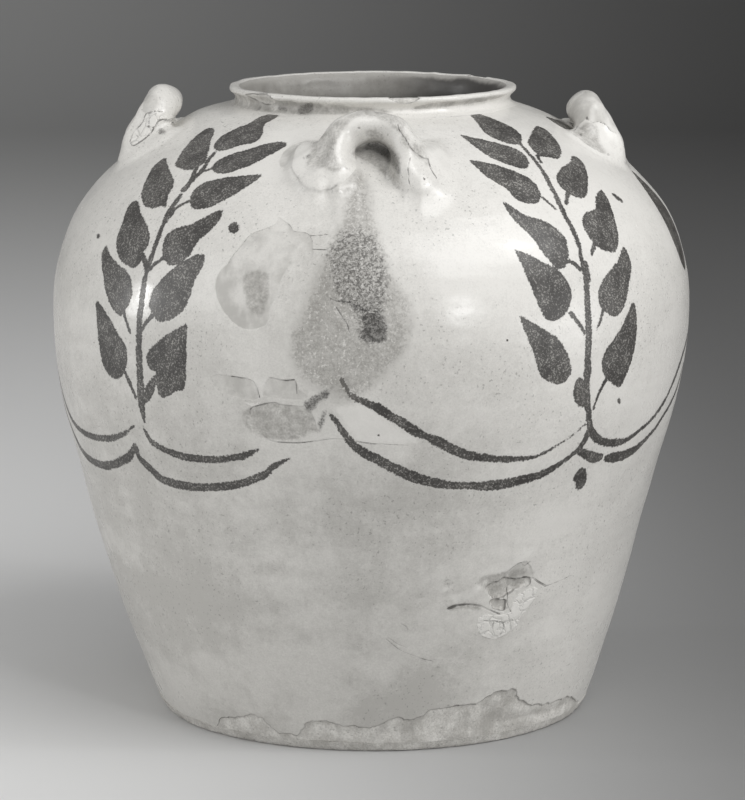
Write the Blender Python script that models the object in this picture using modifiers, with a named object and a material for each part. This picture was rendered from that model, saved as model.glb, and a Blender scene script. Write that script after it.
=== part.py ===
"""Glazed earthenware storage jar with four loop handles round its shoulder.

The jar is built the way a potter builds it: a slab for the base, a thrown lower wall that stands
on the slab's ledge, an upper wall luted to it along a sloping seam, a neck ring let into the
mouth, and four rolls of clay bent into loops whose feet are let into the shoulder, each foot
held by a lump of clay pressed against its side.

Metres, +Z up. The origin is the centre of the underside, and one handle faces -Y.
"""

import math

import bmesh
import bpy
from mathutils import Matrix, Vector

# Body outline
JAR_HEIGHT = 0.340
FOOT_RADIUS = 0.1165
FOOT_CHAMFER = 0.0022
BELLY_RADIUS = 0.1726
BELLY_HEIGHT_SHARE = 0.6353
NECK_HEIGHT = 0.0095
NECK_RADIUS = 0.0743

# Walls and the base slab
SLAB_THICKNESS = 0.0110
SLAB_LEDGE = 0.0055
FOOT_WALL = 0.0095
LOWER_WALL = 0.0080
UPPER_WALL = 0.0072

# Sloping seam between the two thrown walls
SEAM_HEIGHT_SHARE = 0.4412
SEAM_SLOPE = 0.0070

# Neck ring and its lip
NECK_WALL = 0.0069
WAIST_INSET = 0.0005
LIP_OVERHANG = 0.0029
LIP_THICKNESS = 0.0068
LIP_ROLL_TURN = math.radians(225)
NECK_SEAT_DEPTH = 0.0024

# Loop handles
HANDLE_ROLL_RADIUS = 0.0079
HANDLE_WIDENING_RATIO = 1.14
HANDLE_ARCH_RADIUS = 0.0192
HANDLE_REACH_SHARE = 0.3815
HANDLE_CROWN_RISE = 0.0143
HANDLE_LEAN = math.radians(33)
HANDLE_LEG_LENGTH = 0.0168
HANDLE_LEG_TURN = math.radians(57)
HANDLE_FLARE_RATIO = 1.26
HANDLE_FOOT_SPLAY = 0.0028
HANDLE_SEAT_DEPTH = 0.0016

# Lumps of clay pressed beside each handle foot
LUMP_WIDTH = 0.0230
LUMP_LENGTH = 0.0330
LUMP_RISE = 0.0080
LUMP_STAND_OFF = 0.0070
LUMP_REACH_SHARE = 0.4446

# Slip gap left between pieces that are luted together
SLIP_GAP = 0.0003

# Points nearer than this are one point
WELD_DISTANCE = 0.00001

# Shares of the outline's height and swelling, chosen by hand from foot to neck
WALL_SHARES = (
    (0.0, 0.0),
    (0.11, 0.16),
    (0.315, 0.41),
    (0.63, 0.74),
    (0.83, 0.935),
    (1.0, 1.0),
)
SHOULDER_SHARES = (
    (0.25, 0.975),
    (0.49, 0.87),
    (0.695, 0.67),
    (0.83, 0.445),
    (0.937, 0.215),
    (1.0, 0.0),
)

# Facets
TURNED_STEPS = 64
OUTLINE_STEPS = 2
INSIDE_STEPS = 2
LIP_STEPS = 7
ROLL_RESOLUTION = 4
ARCH_STEPS = 10
LEG_STEPS = 5
LUMP_SEGMENTS = 16
LUMP_RINGS = 8
SMOOTH_ANGLE = math.radians(35)
QUARTER_TURN = math.radians(90)

HANDLE_NAMES = ("front_handle", "right_handle", "back_handle", "left_handle")

# Colour, roughness and metallic value of each finish
FINISHES = {
    "bare_clay": ((0.46, 0.40, 0.33, 1.0), 0.85, 0.0),
    "cream_glaze": ((0.80, 0.78, 0.73, 1.0), 0.28, 0.0),
}

# Places that follow the jar's height, belly and neck
NECK_LEVEL = JAR_HEIGHT - NECK_HEIGHT
BELLY_LEVEL = JAR_HEIGHT * BELLY_HEIGHT_SHARE
SEAM_LEVEL = JAR_HEIGHT * SEAM_HEIGHT_SHARE
SHOULDER_WIDTH = BELLY_RADIUS - NECK_RADIUS
MOUTH_RADIUS = NECK_RADIUS - NECK_WALL
WAIST_RADIUS = NECK_RADIUS - WAIST_INSET
LIP_RADIUS = NECK_RADIUS + LIP_OVERHANG
HANDLE_REACH = NECK_RADIUS + SHOULDER_WIDTH * HANDLE_REACH_SHARE
LUMP_REACH = NECK_RADIUS + SHOULDER_WIDTH * LUMP_REACH_SHARE
LUMP_OFFSET = HANDLE_ARCH_RADIUS + LUMP_STAND_OFF


def clear_scene():
    """Leave an empty scene."""
    for obj in list(bpy.data.objects):
        bpy.data.objects.remove(obj)


def collection(name):
    """A new collection in the scene."""
    made = bpy.data.collections.new(name)
    bpy.context.scene.collection.children.link(made)
    return made


def finish(name):
    """The material of that name, made the first time it is asked for."""
    found = bpy.data.materials.get(name)
    if found:
        return found
    colour, roughness, metallic = FINISHES[name]
    material = bpy.data.materials.new(name)
    material.use_nodes = True
    shader = material.node_tree.nodes["Principled BSDF"]
    shader.inputs["Base Color"].default_value = colour
    shader.inputs["Roughness"].default_value = roughness
    shader.inputs["Metallic"].default_value = metallic
    material.diffuse_color = colour
    return material


# Outline

def through(points, steps):
    """A smooth line through the points, with that many steps between each two."""
    ends = [2 * points[0] - points[1], *points, 2 * points[-1] - points[-2]]
    line = []
    for before, start, end, after in zip(ends, ends[1:], ends[2:], ends[3:]):
        for step in range(steps):
            t = step / steps
            line.append(
                start
                + t * (end - before) / 2
                + t * t * (2 * before - 5 * start + 4 * end - after) / 2
                + t * t * t * (3 * start - before - 3 * end + after) / 2
            )
    return [*line, points[-1]]


def outline():
    """The outer outline from the foot to the neck, as (radius, level)."""
    swelling = BELLY_RADIUS - FOOT_RADIUS
    wall = [
        Vector((FOOT_RADIUS + swelling * out, BELLY_LEVEL * up)) for up, out in WALL_SHARES
    ]
    shoulder = [
        Vector((NECK_RADIUS + SHOULDER_WIDTH * out, BELLY_LEVEL + (NECK_LEVEL - BELLY_LEVEL) * up))
        for up, out in SHOULDER_SHARES
    ]
    return through(wall + shoulder, OUTLINE_STEPS)


def inwards(points, depth):
    """The points moved square to their line, towards the inside of the jar by the depth.

    The depth is one number, or a function of a point's level.
    """
    moved = []
    for index, point in enumerate(points):
        before = points[max(index - 1, 0)]
        after = points[min(index + 1, len(points) - 1)]
        along = (after - before).normalized()
        distance = depth(point.y) if callable(depth) else depth
        moved.append(point + distance * Vector((-along.y, along.x)))
    return moved


def at_level(points, level):
    """The radius of the line at a level."""
    for low, high in zip(points, points[1:]):
        if low.y <= level <= high.y:
            return low.x + (high.x - low.x) * (level - low.y) / (high.y - low.y)
    raise ValueError("the outline does not reach that level")


def at_radius(points, radius):
    """The level at which the shoulder has a radius."""
    for low, high in zip(points, points[1:]):
        if low.y >= BELLY_LEVEL and high.x <= radius <= low.x:
            return low.y + (high.y - low.y) * (low.x - radius) / (low.x - high.x)
    raise ValueError("the shoulder does not reach that radius")


def between(points, low, high):
    """The part of the line between two levels, with a point at each of them."""
    inner = [point for point in points if low < point.y < high]
    return [
        Vector((at_level(points, low), low)),
        *inner,
        Vector((at_level(points, high), high)),
    ]


def wall_depth(level):
    """Thickness of the wall at a level: it thins from the foot up to the neck."""
    if level < SEAM_LEVEL:
        return FOOT_WALL + (LOWER_WALL - FOOT_WALL) * level / SEAM_LEVEL
    return LOWER_WALL + (UPPER_WALL - LOWER_WALL) * (level - SEAM_LEVEL) / (NECK_LEVEL - SEAM_LEVEL)


# Meshes and objects

def turned(name, points, group, finish_name=None):
    """A body turned about Z from a closed outline that runs down its outer side first."""
    mesh = bpy.data.meshes.new(name)
    profile = bmesh.new()
    corners = [profile.verts.new((point.x, 0, point.y)) for point in points]
    on_axis = abs(points[0].x) < SLIP_GAP and abs(points[-1].x) < SLIP_GAP
    pairs = zip(corners, corners[1:] if on_axis else corners[1:] + corners[:1])
    for start, end in pairs:
        profile.edges.new((start, end))
    profile.to_mesh(mesh)
    profile.free()
    body = bpy.data.objects.new(name, mesh)
    group.objects.link(body)
    screw = body.modifiers.new("turned", "SCREW")
    screw.steps = TURNED_STEPS
    screw.render_steps = TURNED_STEPS
    screw.use_merge_vertices = True
    screw.merge_threshold = WELD_DISTANCE
    screw.use_smooth_shade = True
    if finish_name:
        mesh.materials.append(finish(finish_name))
    return body


def cut(body, cutter, name):
    """Take the cutter out of the body."""
    boolean = body.modifiers.new(name, "BOOLEAN")
    boolean.operation = "DIFFERENCE"
    boolean.solver = "EXACT"
    boolean.object = cutter


def hide(cutter):
    """Keep a cutter out of the picture."""
    cutter.hide_render = True
    cutter.display_type = "WIRE"
    return cutter


# Turned pieces

def base_slab(group, line):
    """The slab: a disc with a raised middle, and a ledge round it for the wall."""
    raised = FOOT_RADIUS - FOOT_WALL
    rim = at_level(line, SLAB_LEDGE)
    foot = at_level(line, FOOT_CHAMFER)
    points = [
        Vector((0, SLAB_THICKNESS)),
        Vector((raised, SLAB_THICKNESS)),
        Vector((raised, SLAB_LEDGE)),
        Vector((rim, SLAB_LEDGE)),
        Vector((foot, FOOT_CHAMFER)),
        Vector((FOOT_RADIUS - FOOT_CHAMFER, 0)),
        Vector((0, 0)),
    ]
    return turned("base_slab", points, group, "bare_clay")


def lower_wall(group, line, inside):
    """The thrown cone: it stands on the slab's ledge, and its rim slopes up inwards."""
    bottom = SLAB_LEDGE + SLIP_GAP
    outer_top = SEAM_LEVEL - SEAM_SLOPE / 2 - SLIP_GAP / 2
    inner_top = SEAM_LEVEL + SEAM_SLOPE / 2 - SLIP_GAP / 2
    grip = FOOT_RADIUS - FOOT_WALL + SLIP_GAP
    outer = between(line, bottom, outer_top)
    inner = between(inside, SLAB_THICKNESS + FOOT_WALL, inner_top)[::INSIDE_STEPS]
    points = [*reversed(outer), Vector((grip, bottom)), Vector((grip, SLAB_THICKNESS)), *inner]
    if inner[-1].y < inner_top:
        points.append(Vector((at_level(inside, inner_top), inner_top)))
    return turned("lower_wall", points, group, "cream_glaze")


def upper_wall(group, line, inside):
    """The thrown bowl from the seam to the mouth, with a seat turned in for the neck ring."""
    outer_bottom = SEAM_LEVEL - SEAM_SLOPE / 2 + SLIP_GAP / 2
    inner_bottom = SEAM_LEVEL + SEAM_SLOPE / 2 + SLIP_GAP / 2
    seat = NECK_LEVEL - NECK_SEAT_DEPTH
    seat_edge = NECK_RADIUS + SLIP_GAP
    edge_level = at_radius(line, seat_edge)
    outer = between(line, outer_bottom, edge_level)
    mouth = MOUTH_RADIUS + SLIP_GAP
    inner = between(inside, inner_bottom, inside[-1].y)
    last = inner[-1] - inner[-2]
    mouth_edge = inner[-1] + last * (inner[-1].x - mouth) / -last.x
    thinned = [inner[0], *inner[1:-1:INSIDE_STEPS], mouth_edge]
    points = [
        Vector((mouth, seat)),
        Vector((seat_edge, seat)),
        *reversed(outer),
        *thinned,
    ]
    return turned("upper_wall", points, group, "cream_glaze")


def neck_ring(group):
    """The ring of clay that makes the mouth: seated foot, narrow waist and rolled lip."""
    foot = NECK_LEVEL - NECK_SEAT_DEPTH + SLIP_GAP
    roll = LIP_THICKNESS / 2
    centre = Vector((LIP_RADIUS - roll, JAR_HEIGHT - roll))
    lip = []
    for step in range(LIP_STEPS + 1):
        angle = math.pi - LIP_ROLL_TURN * step / LIP_STEPS
        lip.append(centre + roll * Vector((math.cos(angle), math.sin(angle))))
    points = [
        *lip,
        Vector((WAIST_RADIUS, (centre.y + NECK_LEVEL) / 2)),
        Vector((NECK_RADIUS, NECK_LEVEL)),
        Vector((NECK_RADIUS, foot)),
        Vector((MOUTH_RADIUS, foot)),
    ]
    return turned("neck_ring", points, group, "cream_glaze")


# Handles

def handle_crown(line):
    """The middle of the front handle's arch, a little above the shoulder."""
    return Vector((0, -HANDLE_REACH, at_radius(line, HANDLE_REACH) + HANDLE_CROWN_RISE))


def handle_path(crown):
    """Points of the front handle's roll, each with its share of the roll's radius.

    An arch leans in over the neck, and each leg below it turns back into the shoulder.
    """
    down = Vector((0, -math.sin(HANDLE_LEAN), -math.cos(HANDLE_LEAN)))
    side = Vector((1, 0, 0))
    centre = crown + HANDLE_ARCH_RADIUS * down
    path = []
    for step in range(ARCH_STEPS + 1):
        angle = math.pi * step / ARCH_STEPS
        point = centre - HANDLE_ARCH_RADIUS * (math.cos(angle) * side + math.sin(angle) * down)
        path.append((point, 1))
    leg = []
    foot = centre + HANDLE_ARCH_RADIUS * side
    for step in range(LEG_STEPS):
        share = (step + 1) / LEG_STEPS
        lean = HANDLE_LEAN - HANDLE_LEG_TURN * share
        along = Vector((0, -math.sin(lean), -math.cos(lean)))
        foot = foot + HANDLE_LEG_LENGTH / LEG_STEPS * along
        outwards = HANDLE_FOOT_SPLAY * share * share
        leg.append((foot + outwards * side, 1 + (HANDLE_FLARE_RATIO - 1) * share))
    mirrored = [(Vector((-point.x, point.y, point.z)), share) for point, share in leg]
    return mirrored[::-1] + path + leg


def roll_mesh(name, line, margin):
    """The front handle's roll as a closed mesh, made larger by the margin all round."""
    crown = handle_crown(line)
    path = handle_path(crown)
    curve = bpy.data.curves.new(name, "CURVE")
    curve.dimensions = "3D"
    curve.bevel_depth = HANDLE_ROLL_RADIUS + margin
    curve.bevel_resolution = ROLL_RESOLUTION
    curve.use_fill_caps = True
    spline = curve.splines.new("POLY")
    spline.points.add(len(path) - 1)
    for point, (place, share) in zip(spline.points, path):
        point.co = (*place, 1)
        point.radius = share
    guide = bpy.data.objects.new(name, curve)
    bpy.context.scene.collection.objects.link(guide)
    bpy.context.view_layer.update()
    graph = bpy.context.evaluated_depsgraph_get()
    mesh = bpy.data.meshes.new_from_object(guide.evaluated_get(graph))
    bpy.data.objects.remove(guide)
    bpy.data.curves.remove(curve)
    welded = bmesh.new()
    welded.from_mesh(mesh)
    bmesh.ops.remove_doubles(welded, verts=welded.verts, dist=WELD_DISTANCE)
    bmesh.ops.recalc_face_normals(welded, faces=welded.faces)
    welded.to_mesh(mesh)
    welded.free()
    across = Vector((0, -math.cos(HANDLE_LEAN), math.sin(HANDLE_LEAN)))
    widen = Matrix.Scale(HANDLE_WIDENING_RATIO, 4, across)
    mesh.transform(Matrix.Translation(crown) @ widen @ Matrix.Translation(-crown))
    mesh.shade_smooth()
    mesh.set_sharp_from_angle(angle=SMOOTH_ANGLE)
    return mesh


def floor_under(name, line, depth, group):
    """A closed body that fills the jar up to a depth below the outside of its shoulder."""
    shoulder = inwards([point for point in line if point.y >= BELLY_LEVEL], depth)
    points = [Vector((0, shoulder[-1].y)), *reversed(shoulder), Vector((0, shoulder[0].y))]
    return hide(turned(name, points, group))


def lump_mesh(line):
    """The lump beside the front handle's right foot, lying along the shoulder's slope."""
    reach = math.hypot(LUMP_REACH, LUMP_OFFSET)
    level = at_radius(line, reach)
    step = LUMP_LENGTH / 4
    fall = (at_radius(line, reach - step) - at_radius(line, reach + step)) / (2 * step)
    away = Vector((LUMP_OFFSET, -LUMP_REACH, 0)).normalized()
    slope = (away - fall * Vector((0, 0, 1))).normalized()
    around = Vector((0, 0, 1)).cross(away)
    normal = slope.cross(around)
    basis = Matrix((around, slope, normal)).transposed().to_4x4()
    centre = Vector((LUMP_OFFSET, -LUMP_REACH, level))
    size = Matrix.Diagonal((LUMP_WIDTH / 2, LUMP_LENGTH / 2, LUMP_RISE, 1))
    mesh = bpy.data.meshes.new("lump")
    ball = bmesh.new()
    bmesh.ops.create_uvsphere(
        ball, u_segments=LUMP_SEGMENTS, v_segments=LUMP_RINGS, radius=1
    )
    bmesh.ops.transform(ball, matrix=Matrix.Translation(centre) @ basis @ size, verts=ball.verts)
    bmesh.ops.recalc_face_normals(ball, faces=ball.faces)
    ball.to_mesh(mesh)
    ball.free()
    mesh.shade_smooth()
    return mesh


def mirrored_mesh(mesh, name):
    """The same mesh on the other side of the front handle."""
    other = mesh.copy()
    other.name = name
    flipped = bmesh.new()
    flipped.from_mesh(other)
    bmesh.ops.transform(flipped, matrix=Matrix.Scale(-1, 4, Vector((1, 0, 0))), verts=flipped.verts)
    bmesh.ops.reverse_faces(flipped, faces=flipped.faces)
    flipped.to_mesh(other)
    flipped.free()
    return other


def placed(name, mesh, quarter, group, finish_name=None):
    """An object of the mesh, turned about the jar's axis by that many quarters."""
    piece = bpy.data.objects.new(name, mesh)
    group.objects.link(piece)
    piece.rotation_euler.z = quarter * QUARTER_TURN
    if finish_name and not mesh.materials:
        mesh.materials.append(finish(finish_name))
    return piece


def handles(group, cutters, line, shoulder):
    """Four loops, their seats in the shoulder and the two lumps that hold each of them."""
    roll = roll_mesh("handle_roll", line, 0)
    socket = roll_mesh("handle_socket", line, SLIP_GAP)
    seat_floor = floor_under("seat_floor", line, HANDLE_SEAT_DEPTH, cutters)
    socket_floor = floor_under("socket_floor", line, HANDLE_SEAT_DEPTH + SLIP_GAP, cutters)
    lump_floor = floor_under("lump_floor", line, -SLIP_GAP, cutters)
    right_lump = lump_mesh(line)
    left_lump = mirrored_mesh(right_lump, "lump_mirrored")
    for quarter, name in enumerate(HANDLE_NAMES):
        loop = placed(name, roll, quarter, group, "cream_glaze")
        cut(loop, seat_floor, "seated")
        pocket = hide(placed(name + "_pocket", socket, quarter, cutters))
        cut(pocket, socket_floor, "floor")
        cut(shoulder, pocket, name)
        sleeve = hide(placed(name + "_sleeve", socket, quarter, cutters))
        for side, mesh in (("left", left_lump), ("right", right_lump)):
            lump = placed(f"{name}_{side}_lump", mesh, quarter, group, "cream_glaze")
            cut(lump, lump_floor, "on_shoulder")
            cut(lump, sleeve, "round_foot")


def build():
    """Make the whole jar."""
    clear_scene()
    group = collection("four_handled_jar")
    cutters = collection("cutters")
    line = outline()
    inside = inwards(line, wall_depth)
    base_slab(group, line)
    lower_wall(group, line, inside)
    shoulder = upper_wall(group, line, inside)
    neck_ring(group)
    handles(group, cutters, line, shoulder)


build()
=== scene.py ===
"""Dresses the four-handled storage jar: thrown walls, neck, base and loop handles, with brushed
leaf sprays and swags under a glossy glaze, stains, flaked places and pinholes.

Lengths are metres. Tables of places on the jar hold degrees round it, from the front towards
the right handle, and levels in millimetres.
"""

import math

import bpy
import numpy as np
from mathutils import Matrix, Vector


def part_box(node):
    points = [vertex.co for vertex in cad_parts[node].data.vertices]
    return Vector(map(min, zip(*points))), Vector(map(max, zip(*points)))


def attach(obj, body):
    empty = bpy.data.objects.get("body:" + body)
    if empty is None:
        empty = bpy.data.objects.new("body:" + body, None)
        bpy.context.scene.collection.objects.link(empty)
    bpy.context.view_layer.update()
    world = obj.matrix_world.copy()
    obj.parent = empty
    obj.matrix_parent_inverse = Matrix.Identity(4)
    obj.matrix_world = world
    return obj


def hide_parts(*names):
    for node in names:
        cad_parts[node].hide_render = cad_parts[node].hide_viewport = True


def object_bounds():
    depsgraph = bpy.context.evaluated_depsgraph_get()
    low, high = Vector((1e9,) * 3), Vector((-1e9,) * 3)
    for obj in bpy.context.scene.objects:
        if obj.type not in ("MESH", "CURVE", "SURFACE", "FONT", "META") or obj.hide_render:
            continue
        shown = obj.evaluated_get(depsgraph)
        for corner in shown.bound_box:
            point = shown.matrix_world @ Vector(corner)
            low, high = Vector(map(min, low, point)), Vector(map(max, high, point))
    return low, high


bl_info = {
    "name": "Four-Handled Storage Jar",
    "version": (1, 0, 0),
    "blender": (4, 5, 0),
    "location": "View3D > Sidebar > Jar",
    "description": "Builds a glazed storage jar with four loop handles and painted leaf sprays",
    "category": "Add Mesh",
}

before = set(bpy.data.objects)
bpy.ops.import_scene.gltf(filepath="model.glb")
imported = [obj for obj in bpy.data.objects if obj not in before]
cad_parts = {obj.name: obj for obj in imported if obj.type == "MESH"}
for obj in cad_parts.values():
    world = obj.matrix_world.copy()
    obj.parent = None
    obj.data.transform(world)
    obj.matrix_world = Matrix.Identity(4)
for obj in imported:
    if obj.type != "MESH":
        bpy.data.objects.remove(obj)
CAD_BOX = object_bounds()

MM = 0.001
BODY = "root"

# The distance in mm that stands for a mark which isn't near

FAR = 30.0

# The view from straight in front: where it is taken from, its tilt down in radians, and the
# distance to the jar's middle

VIEW_PLACE = np.array([0, -2.017851, 0.534098])
VIEW_TILT = math.radians(10.324306)
VIEW_REACH = 2.01785


def node_top(node):
    """The highest level of a node of the model."""
    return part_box(node)[1][2]


def node_reach(node):
    """How far a node reaches out from the jar's axis."""
    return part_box(node)[1][0]


# Shape shared with the solids

BELLY_HEIGHT_SHARE = 0.6353
SEAM_HEIGHT_SHARE = 0.4412
WALL_SHARES = ((0.0, 0.0), (0.11, 0.16), (0.315, 0.41), (0.63, 0.74), (0.83, 0.935), (1.0, 1.0))
SHOULDER_SHARES = ((0.25, 0.975), (0.49, 0.87), (0.695, 0.67), (0.83, 0.445), (0.937, 0.215),
                   (1.0, 0.0))
FOOT_CHAMFER = 0.0022
SLAB_LEDGE = 0.0055
SLAB_THICKNESS = 0.0110
FOOT_WALL = 0.0095
LOWER_WALL = 0.0080
UPPER_WALL = 0.0072
HANDLE_REACH_SHARE = 0.3815
HANDLE_RISE = 0.0143
HANDLE_ARCH = 0.0192
HANDLE_LEAN = math.radians(33)
HANDLE_LEG = 0.0168
HANDLE_LEG_TURN = math.radians(57)
HANDLE_FLARE = 1.26
HANDLE_SPLAY = 0.0028
HANDLE_WIDENING = 1.14
PAD_REACH_SHARE = 0.4446
PAD_OFFSET = 0.0262

# The arch of a loop, squarer than a half circle where this is below 1

ARCH_FLATNESS = 0.90

# How far the clay of the loops wanders, and its thickness as a share, and by how much a pad
# strays outwards, turns in degrees and is smaller than the plain one at most

CLAY_WANDER = 0.0003
THICKNESS_WANDER = 0.025
PAD_STRAY = 0.0012
PAD_TURN = (8, 18)
SMALLEST_PAD = 0.92

# Facets: columns round the walls, the finest split of a cell, steps of the outer line, row
# heights, the level up to which the foot's rows are used, and places of rolls and pads

COLUMNS = 440
FINEST = 4
OUTLINE_STEPS = 24
FOOT_ROW = 0.0012
FOOT_ROW_TOP = 0.036
WALL_ROW = 0.0024
SHOULDER_ROW = 0.0020
INSIDE_ROW = 0.0080
ARCH_PLACES = 25
LEG_PLACES = 12
ROLL_AROUND = 84
ROLL_ROW = 0.0007
PAD_RINGS = 38
PAD_AROUND = 84

# How near in mm an edge is where the wall's cells are split 2 ways, how much nearer it is for a
# pale place, how near a crack or a thin stem is where they are split 4 ways, and how wide a
# thin stem is at most

EDGE_SPLIT = 1.5
PALED_SLACK = 0.6
THIN_SPLIT = 1.2
THIN_STEM = 3.5

# Radii of the walls, where an angle that stands for a short distance is only roughly needed

NARROW_RADIUS = 0.10
WIDE_RADIUS = 0.15

# How wide the clay is smoothed under a crown, how far below the crown the width starts to grow
# and over what height, and how much later that is inside the front loop's right leg

UNDER_CROWN = 0.0030
GROWTH_START = 0.012
GROWTH_HEIGHT = 0.018
LATE_START = 0.018
LATE_HEIGHT = 0.004

# Across a loop, in metres from its middle: where the inside of its left leg and of the front
# loop's right leg start and end, where the front loop's legs end and how much wider its joint
# is beyond them, and where and how steeply the growth comes sooner

INSIDE_LEFT = ((0.001, 0.006), (0.015, 0.021))
INSIDE_RIGHT = ((-0.003, 0.005), (0.014, 0.021))
BEYOND_LEGS = (0.020, 0.028)
BEYOND_WIDTH = 0.006
SOONER_START = 0.017
SOONER_SLOPE = 0.9

# How far the clay of a loop is moved onto the joined surface, the depth in the wall below which
# it isn't, and how far a hidden edge goes under

CLAY_MOVE = 0.006
BURIED = 0.003
UNDER = 0.0030
UNDER_SHARE = 0.6

# The ball round the front loop in which the shoulder is raised, and how: how near the clay is,
# in how many rounds, the pace of each, the highest rise, the least that counts as one, and the
# tuck where the clay covers the shoulder

LOOP_MIDDLE = np.array([0, -0.120, 0.312])
LOOP_REACH = 0.060
RAISE_REACH = 0.006
RAISE_ROUNDS = 12
RAISE_PACE = 0.7
HIGHEST_RAISE = 0.008
LEAST_RAISE = 0.00003
TUCK = 0.0005

# Hand-made differences between the four loops in mm: (lift, reach, sideways), left foot, right
# foot

LOOP_SHAPES = {
    "front": ((0.2, 0, -1.2), (-1.8, 1.5, 1), (0.6, -1.6, -1)),
    "right": ((-1.8, 2.2, 0), (0, 3.5, 0), (0.5, -0.6, 0)),
    "back": ((-1.4, 0.4, 0.6), (0.6, 0.8, 0.5), (-0.8, 0.4, 0)),
    "left": ((2.5, -0.4, 0), (-0.6, -0.5, 0), (0.4, 0.8, 0.6)),
}
LOOP_NAMES = tuple(LOOP_SHAPES)

# How wide each loop's feet are smoothed into the shoulder, how much wider that is inside the
# left leg, how wide its pads are smoothed into it, and its thickness as a share of the plain one

FILLETS = {
    "front": (0.0090, 0.0100, 0.0110, 1.00), "right": (0.0060, 0.0, 0.0060, 1.07),
    "back": (0.0085, 0.0040, 0.0090, 1.02), "left": (0.0075, 0.0, 0.0070, 1.04),
}

# Each pad's width, length and rise as shares of the plain ones, and its shift in mm: the left
# pad, then the right pad

PAD_SHAPES = {
    "front": ((1.10, 1.10, 0.52, 2.5), (0.86, 1.05, 0.62, -2.0)),
    "right": ((1.00, 1.00, 0.52, 0.5), (1.00, 1.00, 0.58, 0.0)),
    "back": ((1.05, 0.95, 0.80, 0.0), (0.95, 1.05, 0.75, 0.0)),
    "left": ((1.00, 1.00, 0.58, 0.0), (1.00, 1.00, 0.52, -0.5)),
}

# Balls that stand for thumbs pressed into the clay, in mm: middle, radius, softness

PRESSES = {
    "front": (((-45.5, -139, 331), 30, 1.6), ((47, -146, 330), 33, 2.5)),
    "right": (((-47, -139, 333), 33, 2.5), ((45, -140, 332), 30, 2)),
    "back": (((-45, -140, 332), 30, 2), ((47, -142, 331), 32, 2.5)),
    "left": (((-47, -142, 331), 32, 2.5), ((46, -139, 333), 31, 1.8)),
}

# Tables of places

def outlines(*rows):
    """Closed outlines from rows of numbers: two for each corner."""
    return tuple(np.reshape(row, (-1, 2)) for row in rows)


def swept(*rows):
    """Lines from rows of numbers: two for each place, and the width there."""
    return tuple(np.reshape(row, (-1, 3)) for row in rows)


def tapered(*rows):
    """Lines from rows of numbers: the first and the last width, then two for each place."""
    lines = []
    for start, end, *places in rows:
        last = len(places) // 2 - 1
        widths = [start + (end - start) * k / last for k in range(last + 1)]
        lines.append(np.column_stack([np.reshape(places, (-1, 2)), widths]))
    return tuple(lines)


# Worn places of the loops, with painted shade and painted highlights, in mm across and up as
# they look from straight in front. The back loop has those of the front one. Parts deeper than
# WEAR_DEPTH behind the jar's axis have none.

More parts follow.
